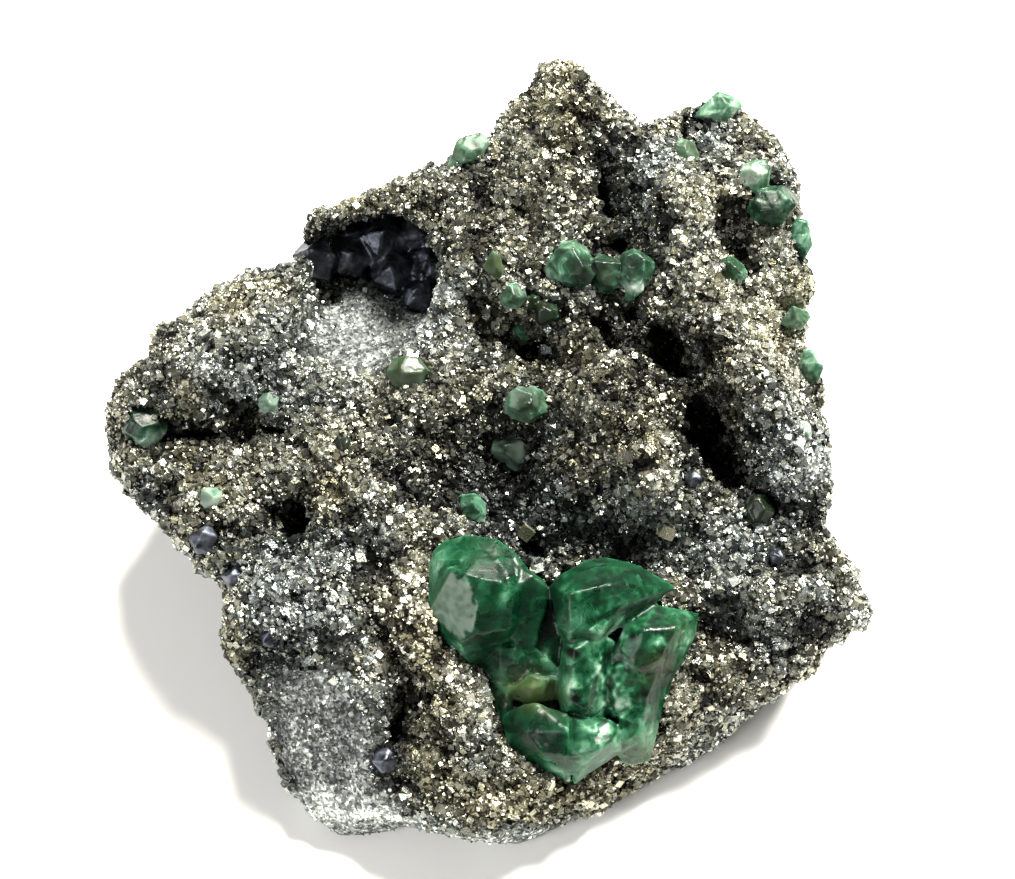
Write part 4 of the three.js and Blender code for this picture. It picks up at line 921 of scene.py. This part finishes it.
def footCrystals(looks, rng):
    # a small fluorite's corner at distance d outside the skin has a grain with the chance
    # share (1 - d / reach)
    tree = BVHTree.FromObject(skin, bpy.context.evaluated_depsgraph_get())
    corners = np.concatenate([coordinatesOf(piece.data) for piece in smallFluorites])
    hits = [tree.find_nearest(Vector(corner)) for corner in corners]
    outside = np.array([(Vector(corner) - hit[0]).dot(hit[1]) > 0 for corner, hit in zip(corners, hits)])
    distance = np.array([hit[3] for hit in hits])
    chance = looks["share"] * (1 - distance / looks["reach"])
    pick = np.flatnonzero(outside & (rng.random(len(corners)) < chance))
    vertex = np.array([skin.data.polygons[hits[index][2]].vertices[0] for index in pick])
    width = rng.uniform(looks["smallest"], looks["largest"], len(pick))
    # painted shade: the lift darkens grains that catch the lamps
    tone = valuesOf(skin.data, "tone")[vertex] + looks["lift"]
    tone = tone + looks["spread"] * rng.normal(size=len(pick))
    return corners[pick], width, tone, valuesOf(skin.data, "gold")[vertex]


def placedCrystals():
    # each single crystal is set where a line straight into the face meets the skin
    tree = BVHTree.FromObject(skin, bpy.context.evaluated_depsgraph_get())
    into, above = Vector(-faceTurn[:, 2]), 40  # above: millimetres over the face
    hits = [tree.ray_cast(Vector(toRow([[u, v, above]])[0]), into)[0] for u, v, *_ in singleCrystals]
    width, tone, gold = np.array([single[2:] for single in singleCrystals]).T
    return np.array(hits), width / 1000, tone, gold


def makeCrust():
    # the crystals in strips from left to right, one piece for each shape in each strip
    rng = np.random.default_rng(crustLooks["seed"])
    groups = [strewnCrystals(crustLooks[kind], rng) for kind in ("body", "glints")]
    groups += [footCrystals(crustLooks["feet"], rng), placedCrystals()]
    place, width, tone, gold = (np.concatenate(values) for values in zip(*groups))
    count = len(place)
    turn = turnsFrom(rng, count)
    singlesRng = np.random.default_rng(crustLooks["singlesSeed"])
    turn[-len(singleCrystals):] = turnsFrom(singlesRng, len(singleCrystals))
    chip = width < crustLooks["chip"]
    cube = ~chip & (rng.random(count) < np.interp(width, *crustLooks["cubes"]))
    across = toFace(place)[:, 0]
    edges = np.quantile(across, np.linspace(0, 1, crustLooks["strips"] + 1))
    built = triangles = 0
    for n in range(crustLooks["strips"]):
        here = (across >= edges[n]) & (across < edges[n + 1])
        for kind, chosen, shape in (("Cubes", cube, (cubeCorners, cubeFaces)),
                                    ("Octahedra", ~cube & ~chip, (octaCorners, octaFaces)),
                                    ("Chips", chip, (chipCorners, chipFaces))):
            pick = here & chosen
            crystalsMesh(f"pyrite{kind}{n + 1}", place[pick], width[pick], turn[pick], tone[pick],
                         gold[pick], shape, rng)
            built += pick.sum()
            triangles += pick.sum() * len(shape[1]) * (len(shape[1][0]) - 2)
    return f"{built} crystals, {triangles} triangles"


report(f"pyrite crust, {makeCrust()}")

# ---- floor, lights and camera

stageLooks = {
    "floor": "#f4f3ef", "floorRoughness": 0.9, "floorReach": 3.0,
    "world": "#e8e7e2", "worldStrength": 0.36,
    # name: place from the specimen's middle, size, watts, colour
    "lights": {
        "key": ((0.4, 0.3, 0.6), 0.16, 23.0, "#fffcf6"),
        "second": ((0.0, 0.4, 0.6), 0.12, 10.0, "#fffaf0"),
        "fill": ((-0.5, -0.4, 0.45), 0.4, 5.0, "#f6f6f8"),
    },
    "middle": (0, 0, 0.02),  # what the lights look at
    "focal": 60.0, "sensor": 36.0, "nearest": 0.01, "distance": 0.245, "aim": (0.0, 0.0),
}


def makeStage():
    floorMesh = bpy.data.meshes.new("floor")
    reach = stageLooks["floorReach"]
    corners = [(-reach, -reach, 0), (reach, -reach, 0), (reach, reach, 0), (-reach, reach, 0)]
    floorMesh.from_pydata(corners, [], [(0, 1, 2, 3)])
    floor = bpy.data.objects.new("floor", floorMesh)
    bpy.context.scene.collection.objects.link(floor)
    material, _, surface, _, _ = newMaterial("floor paper")  # matt white paper, even and without shine
    surface.inputs["Base Color"].default_value = linearColour(stageLooks["floor"])
    surface.inputs["Roughness"].default_value = stageLooks["floorRoughness"]
    floorMesh.materials.append(material)

    world = bpy.data.worlds.new("studio")
    world.use_nodes = True
    background = world.node_tree.nodes["Background"]
    background.inputs["Color"].default_value = linearColour(stageLooks["world"])
    background.inputs["Strength"].default_value = stageLooks["worldStrength"]
    bpy.context.scene.world = world

    middle = Vector(stageLooks["middle"])
    for name, (place, size, power, colour) in stageLooks["lights"].items():
        data = bpy.data.lights.new(name, "AREA")
        data.shape = "DISK"
        data.size = size
        data.energy = power
        data.color = linearColour(colour)[:3]
        lamp = bpy.data.objects.new(name, data)
        lamp.location = middle + Vector(place)
        lamp.rotation_euler = (middle - lamp.location).to_track_quat("-Z", "Y").to_euler()
        bpy.context.scene.collection.objects.link(lamp)

    camera = bpy.data.cameras.new("camera")
    camera.lens = stageLooks["focal"]
    camera.sensor_width = stageLooks["sensor"]
    camera.clip_start = stageLooks["nearest"]
    view = bpy.data.objects.new("camera", camera)
    aim = toRow([[*stageLooks["aim"], stageLooks["distance"] * 1000]])[0]
    view.matrix_world = Matrix.Translation(Vector(aim)) @ Matrix.Rotation(faceFrame["lean"], 4, "X")
    bpy.context.scene.collection.objects.link(view)
    bpy.context.scene.camera = view
    bpy.context.scene.view_settings.view_transform = "Standard"


makeStage()
report("stage")
